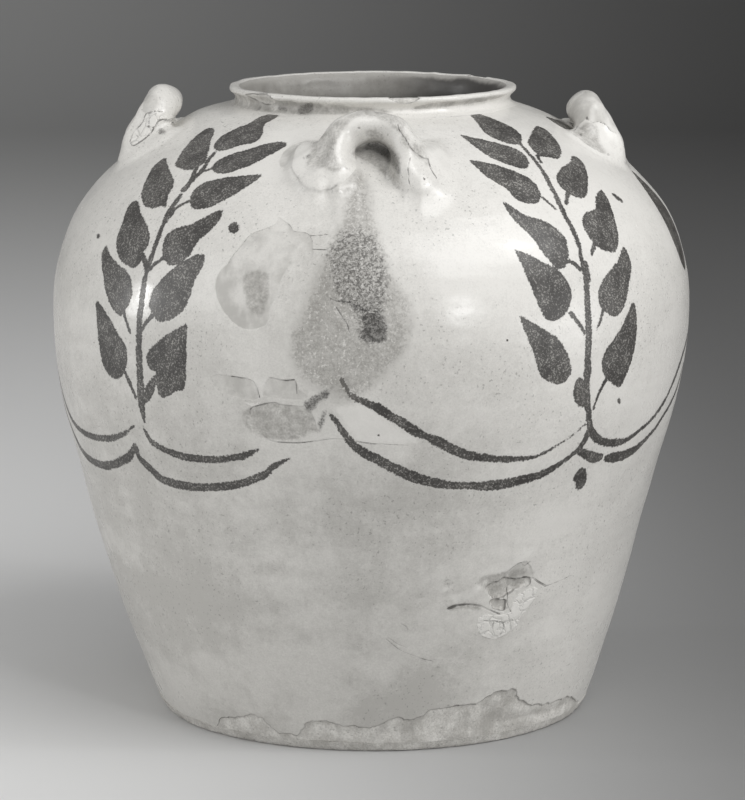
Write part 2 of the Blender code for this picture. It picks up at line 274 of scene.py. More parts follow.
WEAR_DEPTH = 0.012
LOOP_WEAR_AND_LIGHT = {
    "front": {
        # The first outline is painted shadow in the hollow under the crown.
        "soot_and_shadow": outlines(
            (-4.3, 137.9, 0, 139.2, 4.3, 139.2, 8.6, 136.8, 12.4, 133, 14.5, 128.2, 14.5, 121.7,
             11.8, 124.4, 8.6, 129.3, 4.3, 132.5, -1.1, 134.6, -5.9, 135.2),
            (-35.6, 131.2, -34, 131.8, -33.2, 131.1, -34.8, 130.5),
        ),
        # Painted shade: the third outline on the left leg's facet, the fifth over the hollow and
        # the sixth under the crown.
        "grimed_and_shaded": outlines(
            (-32.9, 136.8, -25.9, 144.3, -17.2, 151.3, -5.4, 156.2, 7.5, 155.4, 17.2, 149.7,
             16.2, 142.7, 8.6, 149.7, 0, 152.7, -8.1, 152.4, -13.5, 149.2, -18.3, 140, -21, 135.7,
             -28, 136.3),
            (16.2, 143.3, 21.5, 140, 28, 136.8, 30.2, 130.3, 30.2, 126, 25.9, 129.3, 20.5, 134.6,
             16.2, 137.9),
            (-35.5, 126, -33.9, 131.9, -30.2, 136.3, -24.2, 138.4, -21, 136.8, -18.8, 131.4,
             -17.2, 123.9, -20.5, 122.3, -26.9, 126, -32.3, 124.9),
            (24.2, 137.6, 27.1, 138.3, 29, 135.4, 29.3, 131.1, 26.8, 133.2, 24.2, 135.4),
            (-12.4, 132.5, -8.6, 136.3, -4.3, 139, 0, 141.6, 6.5, 141.1, 11.8, 136.3, 15.6, 129.3,
             15.6, 119.6, 14, 113.1, 10.2, 116.9, 6.5, 121.2, 0, 125.5, -6.5, 129.3),
            (-3.2, 145.4, 1.6, 146.5, 5.4, 143.3, 7.5, 139.5, 2.2, 140, -2.2, 142.2),
        ),
        "cleaned_and_lit": outlines(
            (-13.6, 147.8, -10, 152.2, -5.6, 154, -1.3, 153.6, -4.9, 150.7, -8.5, 147.8,
             -12.2, 146.3),
        ),
    },
    "right": {
        "dulled_and_shaded": outlines(
            (108.7, 144.7, 110.7, 147.4, 113.4, 150.1, 115.7, 151.1, 119.4, 149.1, 122.1, 149.8,
             126.2, 148.1, 128.2, 145.4, 132.9, 143.4, 135.6, 148.1, 133.6, 155.5, 128.9, 162.9,
             122.1, 167, 114.7, 166.3, 108.7, 160.9, 105.3, 152.8, 105.6, 147.4),
        ),
        # Painted shade to the left of the near leg's ridge.
        "grimed_and_shaded": outlines(
            (106.6, 141.1, 110.9, 146.5, 116.3, 149.2, 120.6, 146.5, 122.8, 139, 126, 129.3,
             124.4, 123.9, 118.5, 130.3, 112, 135.7),
        ),
        # A painted highlight along the near leg's ridge.
        "cleaned_and_lit": outlines(
            (120.6, 148.1, 124.9, 148.6, 128.7, 144.3, 129.8, 134.6, 129.3, 122.8, 126.6, 126.6,
             123.9, 135.7),
        ),
    },
    "left": {
        "paled": outlines(
            (-105.4, 151.8, -108.1, 151.1, -114.2, 150.8, -116.2, 148.1, -117.5, 146.1,
             -120.9, 142, -128.3, 137, -130.3, 139.4, -128.3, 144.1, -123.6, 149.5, -121.6, 154.2,
             -116.9, 155.5, -111.5, 154.8),
        ),
        # Painted shade along the crown's upper left edge.
        "dulled_and_shaded": outlines(
            (-123.6, 155.5, -121.6, 164.3, -116.9, 165.6, -115.5, 161.6, -116.9, 157.5,
             -120.2, 154.8),
        ),
        "soot_and_shadow": outlines(
            (-114.9, 145.4, -113.2, 146.1, -111.5, 145.1, -111.3, 143.4, -113.2, 142.9,
             -114.7, 143.7),
            (-112.2, 150.9, -108.8, 151.3, -106.1, 151.6, -106.1, 150.7, -108.8, 150.3,
             -111.5, 150),
        ),
    },
}
LOOP_CRACKS = {
    "front": tapered(
        (0.5, 0.3, -26.8, 137.6, -23.1, 136.5, -20.6, 134.7),
        (0.3, 0.4, 13.7, 148.5, 14.8, 144.9, 17.7, 141.2, 20.6, 136.1, 23.5, 133.2, 27.1, 130.7,
         29.7, 130),
        (0.3, 0.2, 30.1, 130, 31.5, 125.2, 34.4, 120.1, 38.1, 114.3),
        (0.4, 0.2, 20.6, 130.3, 19.5, 126, 19.7, 120.1, 20.6, 114.3, 22.8, 111.4),
        (1, 1, -36.9, 130.5, -36.7, 130.2),
        (1, 1, -27.1, 127.9, -26.8, 127.7),
        (1, 1, -29.5, 131.1, -29.2, 130.8),
        (1, 1, -7.2, 146.5, -6.9, 146.3),
        (1, 1, 27.9, 119.3, 28.2, 119),
        (1, 1, 11.5, 115.8, 11.8, 115.5),
    ),
    "right": tapered(
        (1.1, 1.1, 115.7, 151.9, 116, 151.7),
        (1.1, 1.1, 112.4, 142.9, 112.6, 142.7),
        (1.1, 1.1, 127.2, 132.3, 127.4, 132.1),
        (1.1, 1.1, 125.2, 125.9, 125.4, 125.7),
        (0.2, 0.2, 108.7, 144.7, 110.7, 147.4, 113.4, 150.1, 115.7, 151.1, 119.4, 149.1,
         122.1, 149.8, 126.2, 148.1, 128.2, 145.4, 132.9, 143.4),
    ),
    "left": tapered(
        (0.6, 0.4, -105.4, 151.8, -108.1, 151.1, -114.2, 150.8, -116.2, 148.1, -117.5, 146.1,
         -120.9, 142, -128.3, 137, -130.3, 139.4),
        (0.2, 0.2, -130.3, 139.4, -128.3, 144.1, -123.6, 149.5, -121.6, 154.2, -116.9, 155.5,
         -112.8, 155.2),
        (0.2, 0.2, -121.6, 154.2, -118.9, 154.5, -116.2, 153.8),
        (0.2, 0.2, -122.9, 148.1, -120.9, 147.1, -118.2, 146.8),
        (0.2, 0.2, -127.6, 143.4, -126.6, 142.4, -125.6, 141.4),
        (0.2, 0.2, -119.6, 152.1, -120.2, 149.5, -119.6, 147.1),
    ),
}

# How far the walls lean sideways, as (level, shift) in mm

LEAN = ((0, 0.6), (20, 0), (54, -0.9), (88, -1.5), (110, -2), (130, -1.9), (166, -1.5),
        (200, -0.8), (233, -0.1), (260, 0), (277, -0.3), (290, -0.6), (315, 0), (340, 0))

# Brushed leaves: outlines of the two sprays that face the front, which repeat at the back

LEFT_LEAVES = outlines(
    (-48, 315.6, -49, 319, -47.6, 322.6, -45.4, 325.6, -46.1, 328.2, -42.4, 329.8, -38.7, 329.1,
     -38.2, 327.1, -38.5, 325.6, -34.8, 321.3, -34.9, 318.1, -38.4, 316.3, -41.5, 314,
     -43.7, 312.8, -46.5, 313.9),
    (-40.7, 305.8, -41.1, 308.9, -39, 311.9, -35.1, 314.7, -31.2, 317.6, -27.1, 318.9,
     -24.8, 318.4, -24.7, 316.5, -27.2, 313, -29.6, 308.9, -32.5, 306, -35.3, 303.8, -38.1, 303.7),
    (-40.3, 293.2, -40.4, 296.4, -39.1, 299.2, -35.3, 301.7, -30.5, 303.3, -27.1, 304.4,
     -25.6, 303.7, -26.9, 300.1, -28.8, 296.2, -31.3, 291.8, -33.6, 288.9, -36.2, 287.1,
     -38.2, 287.7, -39.7, 290.4),
    (-41.4, 269, -41.4, 273.3, -40, 276.9, -36.8, 279.7, -34.5, 282.9, -32.4, 286.4, -30.7, 287.7,
     -30.2, 285, -31, 279.6, -32.5, 275.2, -33.7, 270.8, -34.7, 265.1, -36.7, 260.4, -39, 260.4,
     -40.7, 264.3),
    (-41.5, 241.7, -41, 246.8, -39.2, 253.6, -36.7, 260.4, -34.3, 264.6, -32.1, 266.8,
     -31.1, 265.5, -31.2, 260.4, -32.3, 253.4, -32.8, 245.3, -34.1, 238, -36.7, 232.9,
     -38.8, 231.3, -40.4, 234.4, -41.3, 237.9),
    (-41.6, 213.4, -40.5, 217.6, -37.2, 225.1, -34.5, 229.7, -32.9, 232, -32.8, 226.4,
     -32.8, 213.6, -33.3, 199.1, -35.3, 196.5, -37.6, 192.5, -39.2, 193.9, -39.5, 199.7,
     -39.5, 205, -40.9, 206.5, -41.7, 210.1),
    (-39.6, 203.6, -39.7, 198.4, -40.7, 192.1, -42.6, 187.4, -43.5, 188.4, -42.5, 194.7,
     -41.1, 200.5),
    (-57.1, 321.2, -53.9, 320, -50.7, 316.4, -47.8, 313.4, -44.6, 308.4, -45.1, 305.7,
     -46.7, 303.9, -50, 304, -53.1, 304.9, -55.2, 308, -57.9, 312.9, -59.6, 317.4, -59.6, 320.2),
    (-59.7, 306.8, -54.5, 303.4, -48.8, 299.2, -47.1, 295.4, -46.7, 291.9, -45.2, 286.5,
     -46.7, 287.1, -48.3, 285.5, -51.1, 285.5, -54.3, 289, -56.8, 294.5, -58.8, 298.9,
     -60.7, 302.7, -60.9, 305.5),
    (-56.3, 286.6, -54.1, 286.6, -51.7, 282.9, -48.3, 278.3, -45.8, 272.8, -45, 268.1,
     -45.7, 264.8, -45.2, 261.9, -46.8, 256.4, -49.4, 256.9, -52.1, 259.8, -54.2, 265.5,
     -55, 271.5, -55.6, 277.5, -56.6, 282.8),
    (-57.5, 264.4, -55.1, 260.1, -51.5, 256.2, -48.9, 253.9, -47.1, 250.1, -46.2, 244,
     -46.5, 238.8, -47.6, 234.3, -48.6, 231, -50.9, 233.7, -53, 239.1, -54.9, 246.1, -56.7, 253.2,
     -58.1, 259.1),
    (-56.4, 236.3, -53.5, 232.4, -50.7, 226.4, -48.5, 220.7, -46.7, 215.5, -46.6, 209,
     -47.4, 202.1, -49.7, 197.5, -51.9, 199, -53.6, 202.9, -54.7, 211.1, -55.6, 219.9,
     -56.1, 228.9),
)
RIGHT_LEAVES = outlines(
    (42.6, 330.2, 45, 329.8, 47.7, 328, 48.8, 325.4, 49.8, 322.9, 48.8, 319.6, 46.4, 317,
     43.6, 315.9, 40.2, 317, 37.5, 319.8, 36.9, 323.1, 39.1, 326.7),
    (27.7, 321.9, 31, 320.6, 35.4, 318.3, 39.4, 316, 41.9, 313, 41.9, 309.6, 40.6, 307,
     38.2, 305.3, 35.7, 306.8, 33.2, 309.1, 31.2, 311.5, 29.9, 315, 28.7, 318.4),
    (24.9, 310.7, 28.2, 309.9, 32.1, 307.5, 35.4, 304.3, 37.5, 301.2, 38.1, 297.1, 37.5, 293.1,
     35.9, 290.5, 33, 290.4, 31, 293, 30.2, 297.1, 28.6, 300.7, 26.7, 303.7, 25.6, 307.7),
    (27.8, 292.3, 29.3, 289.8, 31.5, 285.4, 34.7, 282.5, 37.3, 277.8, 38.3, 272.2, 38, 266.8,
     37.1, 261.5, 35.9, 258.7, 34.3, 259.7, 33.1, 263.7, 31.9, 269.9, 31, 274.9, 29.6, 279.8,
     28.2, 284.7, 27.9, 288.8),
    (26.7, 269.7, 29, 267.5, 31.7, 263.3, 34.3, 259.1, 36, 253.8, 36.7, 248, 36.4, 241.9,
     34.8, 236, 32.6, 233.4, 30.9, 235.1, 30, 239.7, 29, 247.4, 28.2, 254.3, 27.4, 261.7,
     26.9, 266.7),
    (25.8, 237.8, 27.7, 234.6, 30.1, 230.2, 32.8, 225.7, 34.6, 219.5, 36.1, 211.3, 36.3, 206.1,
     35.1, 201.2, 33.2, 200.7, 31.6, 202.9, 30.1, 205.9, 29, 213.3, 28, 221.2, 26.6, 229.7),
    (62.1, 322, 64, 319.9, 61.6, 316.5, 58.2, 312.2, 55.2, 309.4, 51.7, 307.9, 49.3, 309.1,
     46.8, 310, 46.5, 312.4, 47.5, 315.7, 52.6, 319),
    (59.2, 308.2, 60.1, 305.3, 57.4, 301, 53.8, 295.8, 50.8, 291.6, 48.6, 290.1, 46.4, 291.4,
     44.9, 294.1, 44.3, 297.7, 46, 301.5, 50.1, 304.2, 54.7, 305.7),
    (56.3, 292.4, 57, 289.5, 55.6, 283.7, 53.8, 276.8, 52.3, 269.8, 50.2, 264.2, 48.2, 263.5,
     45.8, 266, 44.4, 270.7, 43.9, 275.7, 44.5, 280.4, 47, 283.4, 50.2, 284.5, 52.8, 289.3),
    (52.5, 265, 53.4, 260.6, 53.2, 254.4, 51.3, 246.1, 49.9, 238.9, 48.6, 234.2, 46.2, 231.6,
     44.3, 234.4, 42.9, 238.1, 42.7, 243.8, 44, 249.7, 46.9, 255.1, 49.7, 259.3),
    (51.7, 237.6, 52.6, 231.5, 52.7, 222.3, 52.2, 213.4, 51.4, 205.8, 50.3, 199.6, 48.8, 193.9,
     46.2, 197.3, 44, 202.7, 43.3, 209.6, 44.1, 215.1, 46.4, 220.8, 48.8, 227.7),
    (38.1, 202.9, 37.3, 199.2, 37.3, 193.9, 38.6, 187.9, 40.1, 187.4, 40, 195.6, 39.3, 201.1),
)

# Brushed lines

STEMS = tapered(
    (2.2, 4.4, -44.7, 312.1, -43.9, 308.2, -42.8, 303.8, -43.1, 300.3, -43.4, 295.5),
    (3.2, 4.2, -43.3, 292.6, -43.3, 290.2, -43.5, 284.8, -43.3, 280.3),
    (3, 3.6, -43.3, 278.3, -43.2, 271, -43.3, 262.4, -43.4, 256),
    (3.8, 4.6, -43.6, 252.2, -43.6, 247.3, -43.5, 239.8, -43.6, 230.8, -43.5, 220.5, -43.4, 210.2),
    (4.4, 5.4, -43.4, 211.2, -43.4, 199.7, -43.6, 186.3),
    (5.4, 1.6, -43.6, 187, -43.5, 182, -43.4, 177.6),
    (2, 2.6, -39.7, 290.9, -42, 287.5, -42.7, 283.2),
    (2.4, 1.8, -40.5, 262.5, -42.2, 259, -42.7, 256.4),
    (2.6, 1.8, -40.4, 234.4, -42.1, 229.4, -43, 224.6),
    (3, 1.6, -48, 234.2, -46.9, 229, -45.8, 223.6),
    (2.4, 2.4, -47.2, 202.2, -46, 196.1, -44.9, 189.8),
    (3.4, 2.6, -45.7, 263, -43.9, 257.3, -43.4, 252.4),
    (3, 2.6, -45.5, 305.6, -43.3, 299.7),
    (2.4, 2, -39.9, 305.9, -41.7, 304.5, -43, 303),
    (2, 3.2, 44.6, 316.1, 44, 311.6, 43.5, 307.7, 42.8, 303.2, 41.9, 298.2, 41.5, 293),
    (3.6, 3, 41.3, 291.6, 41.1, 288.3, 40.8, 283, 40.9, 277, 40.9, 269),
    (2.2, 2.6, 40.9, 267.6, 40.4, 262.4),
    (5.4, 4.6, 40.7, 259, 40.8, 252.5),
    (3.6, 4.6, 40.7, 255.8, 40.1, 244.6, 39.9, 234.5, 40, 224.2, 39.9, 214, 40.2, 203.4),
    (4.2, 4, 39.9, 205, 40.4, 194.4, 40.9, 187),
    (4, 3.6, 40.9, 188, 41.6, 181, 42.2, 176.4, 42.9, 171.5),
    (2.2, 1.6, 37.1, 293.2, 38.1, 291.2, 39.3, 286.9),
    (2.4, 2, 36.3, 262.9, 38.2, 261.3, 39.6, 257.3),
    (2.6, 2, 36.2, 236.2, 37.7, 231.3, 39.1, 225.2),
    (2.4, 1.6, 46, 310.2, 45, 307.4),
    (2.6, 2, 45.6, 293.9, 42.9, 288.6),
    (3.2, 1.4, 45.4, 270.5, 43.1, 263.7),
    (1.8, 1.4, 43.5, 235.3, 42, 227.5),
    (2.4, 1.4, 44.7, 199.3, 43.8, 195.3, 43.1, 191.2, 42.5, 185),
    (2.4, 1.8, 49, 186.8, 49.4, 185.4),
)

THIN_STEMS = tuple(stem for stem in STEMS if stem[:, 2].max() < THIN_STEM)
SWAGS = swept(
    (-4.8, 208.1, 2.5, -4.1, 203.9, 2.1, -3.3, 200.4, 2.8, -2, 198, 3.2, -0.4, 195.9, 3.5,
     1.4, 193.4, 4.8, 3.2, 189.8, 4.4, 5.6, 185.5, 4.8, 7.9, 181, 5, 9.3, 178.4, 3.7,
     10.1, 177.8, 3, 11, 176.4, 4.7, 12.7, 173.7, 5.3, 15.3, 169.7, 5.1, 17.8, 166.7, 4.7,
     20.4, 165.1, 4.1, 23.1, 163.7, 3.7, 25.8, 163, 3.3, 28.6, 162.6, 2.7, 30.9, 162.9, 1.9,
     32.8, 164.3, 1.4, 35, 167.3, 1.1, 37.5, 170.4, 1.1, 39.5, 173.8, 1.1, 40.8, 176.9, 0.9),
    (-7, 191.4, 0.8, -6.2, 188.3, 2.5, -5.3, 184.8, 2.7, -4.3, 179.8, 3.3, -3.2, 175.5, 3.7,
     -1.8, 171.9, 4.4, -0.2, 168.7, 4.8, 1.5, 166.1, 5.3, 3.4, 162.8, 5.3, 5.8, 159.3, 5.3,
     8.2, 156.2, 5.4, 10.7, 153.7, 5.2, 13.3, 151.9, 5, 15.8, 150.8, 4.1, 18.4, 150.3, 4.1,
     21, 149.5, 5, 23.7, 149.5, 5.4, 26.5, 149.9, 5.4, 29.3, 151, 5.1, 32.1, 152, 4.6,
     35, 154.4, 4, 36.7, 156.7, 3, 38.4, 159.4, 2.6, 40.1, 162.5, 2.8, 41.2, 165.4, 3.4,
     41.9, 168.4, 4, 42.2, 172, 4),
    (42.9, 172.5, 4.2, 45.1, 167.5, 4.4, 47.7, 164.6, 4.1, 50.7, 162.9, 4.6, 53.4, 162.6, 3.5,
     56.4, 164, 3, 58.7, 166.2, 2.4, 62.1, 169, 2.5, 65.2, 172.6, 2.8, 68.6, 177.6, 3.2,
     69.7, 180, 2.6, 72.2, 186.2, 3.6, 76, 194, 3.8, 80, 202, 3.8, 85, 211, 3.8),
    (40.7, 162.6, 3.5, 43.1, 159.8, 5.3, 45.6, 156.8, 6, 47.4, 156.4, 4),
    (49.1, 155.3, 3.5, 50.2, 154.8, 5.4, 52.3, 154.4, 6, 55.6, 154.3, 6, 59, 155.7, 4.8,
     61.4, 157.8, 4, 64, 160.6, 3.4, 67.4, 164.1, 3.2, 70.4, 168.5, 3.2, 74.3, 173.4, 3.4,
     78, 180, 3.6, 82, 190, 3.6),
    (-44, 174.8, 1.3, -43, 169.8, 3, -41.7, 166.2, 3.6, -37.8, 162.9, 3.9, -33.9, 161.3, 4.2,
     -28.8, 161.9, 3.8, -25.9, 163.2, 3.4, -22.9, 165.3, 3.7, -20.9, 167.8, 2.6,
     -19.7, 169.4, 1.2),
    (-46.4, 174.1, 1.3, -49.2, 169.2, 2.2, -53.3, 164.7, 3.3, -58.2, 162.1, 3.8, -63.8, 160.9, 3.6,
     -69.5, 162, 3.8, -75, 166.5, 4, -80, 180, 4, -85, 198, 4),
    (-47, 162.4, 2.6, -46.6, 156, 4.2, -43.9, 151, 4.6, -41.7, 147, 5.1, -36.3, 145.2, 5,
     -30, 146.4, 4.6, -24.6, 149.5, 4.2, -19.5, 155.2, 3.9, -16.9, 161.1, 2.9, -14.1, 165.5, 1.2),
    (-47.1, 162.9, 2.8, -50.2, 155.1, 4.5, -55.7, 149.1, 4.6, -60.2, 146.2, 4.9, -66.7, 146, 4.4,
     -72, 149.5, 4.2, -78.5, 160, 4.2, -84, 180, 4.2),
)

# Soft stain under the front handle, flaked places and worn places, some of them painted shadow,
# shade and highlights

STAINS = outlines(
    (-5, 299.1, -5.4, 290.1, -6.9, 278.7, -8.8, 268.2, -10.7, 256.1, -11.8, 243.9, -13.4, 232.6,
     -13.9, 222.4, -13.3, 213.7, -11.7, 206.2, -8.3, 201.3, -5.4, 197.6, -2.8, 196.4, -2, 200.3,
     -0.3, 202.9, 2.2, 208.7, 4.2, 215, 5.9, 221.9, 6.6, 233.1, 6.4, 246.7, 4.2, 258.9, 2.8, 268.4,
     1.6, 278.9, 0.4, 292.5, -0.2, 301.3, -1.2, 306.2, -2.8, 307.2, -4.4, 305.6),
)
STAIN_CORES = outlines(
    (-7.3, 277.6, -4.1, 281.1, 0.1, 280, 1.9, 271.9, 2.9, 261.3, 3, 249.3, 1.8, 240.7, 2.2, 228.3,
     -2, 228.3, -2.4, 238.3, -4.6, 246.8, -7.2, 252.7, -7.8, 262.3),
)
# The fifth outline is painted shadow in the hollow under the front loop's crown, and the sixth
# painted shadow at the top of a small dent.
SOOT_AND_SHADOW = outlines(
    (-1.6, 240.5, -1.4, 233.3, -2.4, 229.5, -1.2, 227.9, 2.2, 226.8, 2.4, 233.3, 2, 239.5,
     0.5, 242),
    (-5.2, 248.2, -3.6, 247.6, -2, 245, -0.2, 243.5, -0.6, 241.6, -2.4, 242.6, -3.8, 245.4,
     -5.4, 246.8),
    (-11.1, 195.9, -10.4, 197.2, -9.4, 198.6, -8.3, 201.3, -7.2, 202.7, -6.8, 200.8, -7.7, 197.5,
     -8.8, 195.4, -9.4, 192.8, -10.3, 191.4, -11, 192.6),
    (-8.8, 185, -8.3, 188.9, -7.6, 192.3, -7.4, 191, -7.9, 185.7, -8.4, 180.7, -8.7, 181.7),
    (-1.7, 319.2, 1.2, 319.8, 4, 318.4, 5.6, 315.4, 6.3, 311.6, 6, 306.9, 5.1, 309.5, 3.8, 312.9,
     1.9, 315.5, -0.5, 316.9, -2.8, 317.1),
    (15.1, 97.9, 15.7, 98.5, 16.5, 97.4, 16.5, 96.3, 15.7, 95.7, 15.1, 96.7),
    (16.3, 82.7, 16.9, 84, 17.8, 84.1, 17.8, 83, 16.9, 82),
)
FLAKES = outlines(
    (-44, 6, -40.5, 12, -36.8, 13.6, -33.7, 15.1, -31.1, 17, -28.8, 16.1, -27.2, 14.2, -25.8, 11.2,
     -24.3, 9.4, -21.5, 8.6, -19.6, 8.3, -18.6, 10.8, -16.8, 14.2, -15, 17.6, -12.5, 17.1,
     -9.9, 17.1, -7.4, 15.2, -4.9, 15.7, -2.4, 14.9, -0.6, 12.9, 0.6, 15.4, 3.1, 18.2, 5.8, 20.5,
     8.1, 18.7, 10.5, 20.4, 13, 21.3, 14.4, 24.4, 17.5, 25, 20.5, 25.3, 25.9, 25.5, 28, 27.3,
     29.7, 29.8, 32.2, 30.7, 34, 30.7, 36.6, 29.2, 38.3, 23.7, 41, 20.8, 43.2, 18.1, 45.9, 17.8,
     49.4, 16.2, 53.7, 16.3, 58.9, 15.9, 64.1, 11.6, 72.5, 2.9, 70, -9, 10, -9, -44, -9),
    (104, -9, 107, 6, 112, 11, 117, 10, 121, 17, 126, 13, 129, 15, 134, 21, 139, 18, 143, 11,
     149, 10, 158, -9),
    (-128, -9, -124, 7, -118, 9, -114, 15, -108, 14, -103, 9, -98, -9),
)
PITS = outlines(
    (24.4, 93.7, 25.8, 94.8, 27.3, 95.1, 28.1, 97.1, 30.7, 94.8, 33.2, 95.4, 35.3, 94, 34.6, 90.5,
     32.4, 89.1, 30, 86.9, 28.9, 84.7, 27.3, 85.2, 25.6, 87.4, 24.7, 90.6),
    (25.7, 81.5, 25.8, 84.7, 28.9, 84.7, 29.7, 81.8, 29.3, 78.2, 27.6, 79.4, 26.7, 79.7),
    (-152, 128, -149, 131, -146.5, 129, -144, 124, -147, 121, -151, 123),
)
# The fifth outline is painted shadow to the left of the front loop's left pad.
DULLED_AND_SHADED = outlines(
    (-26, 263.4, -25.5, 266.7, -24, 272.5, -22.8, 277.3, -20.2, 280.4, -18.5, 282.5, -18.2, 285.6,
     -17.3, 284.9, -15.5, 282.4, -14.5, 279.8, -12.2, 279.2, -11.2, 277.3, -10.6, 272.3,
     -10.6, 267.7, -12.8, 265.1, -14.5, 264.2, -15.3, 260.1, -16, 255.2, -16.2, 250.3,
     -16.9, 245.4, -17.4, 242, -18, 234, -22, 232, -26, 240, -28, 252, -27.4, 259.4),
    (-27.4, 207.3, -23.1, 207.2, -20.9, 206.6, -19.5, 203.1, -19.2, 197, -20.3, 195.5,
     -22.9, 196.6, -26.1, 198.4, -28, 203.2),
    (-18, 203.4, -17.2, 207.8, -14.7, 206.8, -12.7, 207.6, -12.1, 202.2, -10.4, 198.5, -13, 196.7,
     -16.5, 197.8, -18.4, 198.1),
    (29, 101.2, 31.3, 104.2, 33.2, 104.3, 34.9, 99.3, 35.4, 95, 33.2, 95.7, 30.7, 95.1, 29.3, 97),
    (-23.8, 311.1, -23.2, 316.7, -19.9, 319.5, -17, 317.5, -17, 311.6, -17.9, 306.3, -20.6, 306.1),
    (112, 262, 118, 268, 124, 261, 127, 250, 122, 244, 114, 249),
)
# The first and the fifth outlines darken the recesses of the pits with grime and painted shade;
# the third is painted shadow in the hollow under the front loop's crown.
GRIME_AND_SHADE = outlines(
    (21.6, 97, 24, 98.8, 27, 99.6, 30.5, 101, 33.4, 100.2, 33.6, 97.6, 30, 95.6, 27, 94.4,
     25.6, 91.6, 23.4, 93),
    (-20.9, 191.1, -18.3, 194.6, -15.2, 194.3, -10.9, 192.6, -9.9, 190.1, -9.3, 184.3, -8.9, 180.3,
     -10.6, 180.2, -12.4, 176, -16.9, 175, -19.6, 177.5, -21.8, 181, -22.4, 186.2),
    (-5.8, 315, -4.2, 317.5, -1.2, 319.2, 3.4, 318.8, 5.6, 315.4, 6.3, 311.6, 6, 305.6, 5.4, 300.4,
     4.2, 303, 2.8, 306.1, 0.5, 309.5, -1.8, 312.1, -4.1, 313.7),
    (-22.6, 258.3, -20.3, 260.5, -18.2, 259.2, -17.9, 247, -18.9, 238.9, -20.6, 240, -22, 247.6),
    (16.4, 82.6, 17.6, 84.6, 20.4, 84.8, 23.5, 83, 23, 80, 19.5, 81.8, 17, 81.4),
)
PALED = outlines(
    (23.2, 75.9, 25.6, 77, 28.9, 75.8, 31.7, 77, 33.8, 73.7, 33.1, 68, 31, 64.9, 29.2, 62.2,
     26.5, 63, 24.5, 65.4, 23.4, 70.1),
    (31, 78, 32.5, 86, 35.6, 89, 37, 88, 36.2, 81, 34.6, 75, 32.6, 74),
    (-22, 194.4, -20.8, 194.1, -19.2, 194.4, -18.9, 193.2, -20, 191.7, -20.8, 192.3),
)
# The second outline is a painted highlight under a small dent, and the fifth is partly painted
# light along a raised ridge by the pits.
CLEANED_AND_LIT = outlines(
    (-6.4, 244.5, -4.5, 243.6, -2.4, 240.2, -2, 235.8, -3.2, 230.2, -4.1, 233.2, -5.4, 239.4),
    (15, 95.4, 15.8, 94.9, 16.9, 96, 16.9, 94.6, 16, 93.7, 15, 94.2),
    (-6.1, 194.7, -4.5, 195.8, -1.8, 195.5, -0.2, 194.1, 1, 191.3, 3.3, 186.3, 5.6, 181.9,
     7.9, 177.4, 8, 174.9, 5.6, 174, 3.3, 174.8, 1.9, 175.6, 0.5, 174.7, -1.3, 175.6, -2.5, 177.7,
     -4.1, 184.1, -5.2, 189, -6.1, 192.5),
    (-20.6, 206.1, -19, 207.5, -17.7, 207.3, -18.1, 203.3, -18.4, 197.4, -18.9, 197.3,
     -19.2, 202.5),
    (16, 90, 20, 92, 25, 100, 29, 106, 33, 112, 36, 110, 33, 105, 28, 100, 24, 94.5, 22, 88,
     18, 86),
)
# The fifth outline darkens a sliver of the shoulder under the right loop's crown.
BLOTS = outlines(
    (43.1, 152.7, 44, 150.6, 44.7, 146.5, 44.7, 142.8, 43.8, 140.6, 42.7, 140.5, 42.1, 142,
     42, 143.9, 41.2, 146.5, 41.2, 149.1, 41.8, 151.9),
    (-27.9, 281, -27.1, 282.6, -26.1, 281.9, -25.4, 279.6, -25.9, 277.8, -26.9, 277.5, -27.8, 279),
    (-62.5, 267.8, -61.4, 268.5, -60.5, 267.2, -61.5, 266.4),
    (59.4, 289.4, 60.4, 289.8, 61.4, 287.6, 61.7, 285.6, 60.8, 285, 59.9, 286.8),
    (80, 323.6, 84.7, 321.9, 88.5, 320, 86.5, 317.9, 81, 316.4, 76.5, 318.6),
    (81, 295, 78.4, 288, 76.4, 279, 75.4, 269, 75.6, 258, 77, 248, 79.6, 243, 82.6, 246, 84.6, 254,
     85.4, 265, 84.8, 277, 83.2, 287),
)

# Cracks and crevices

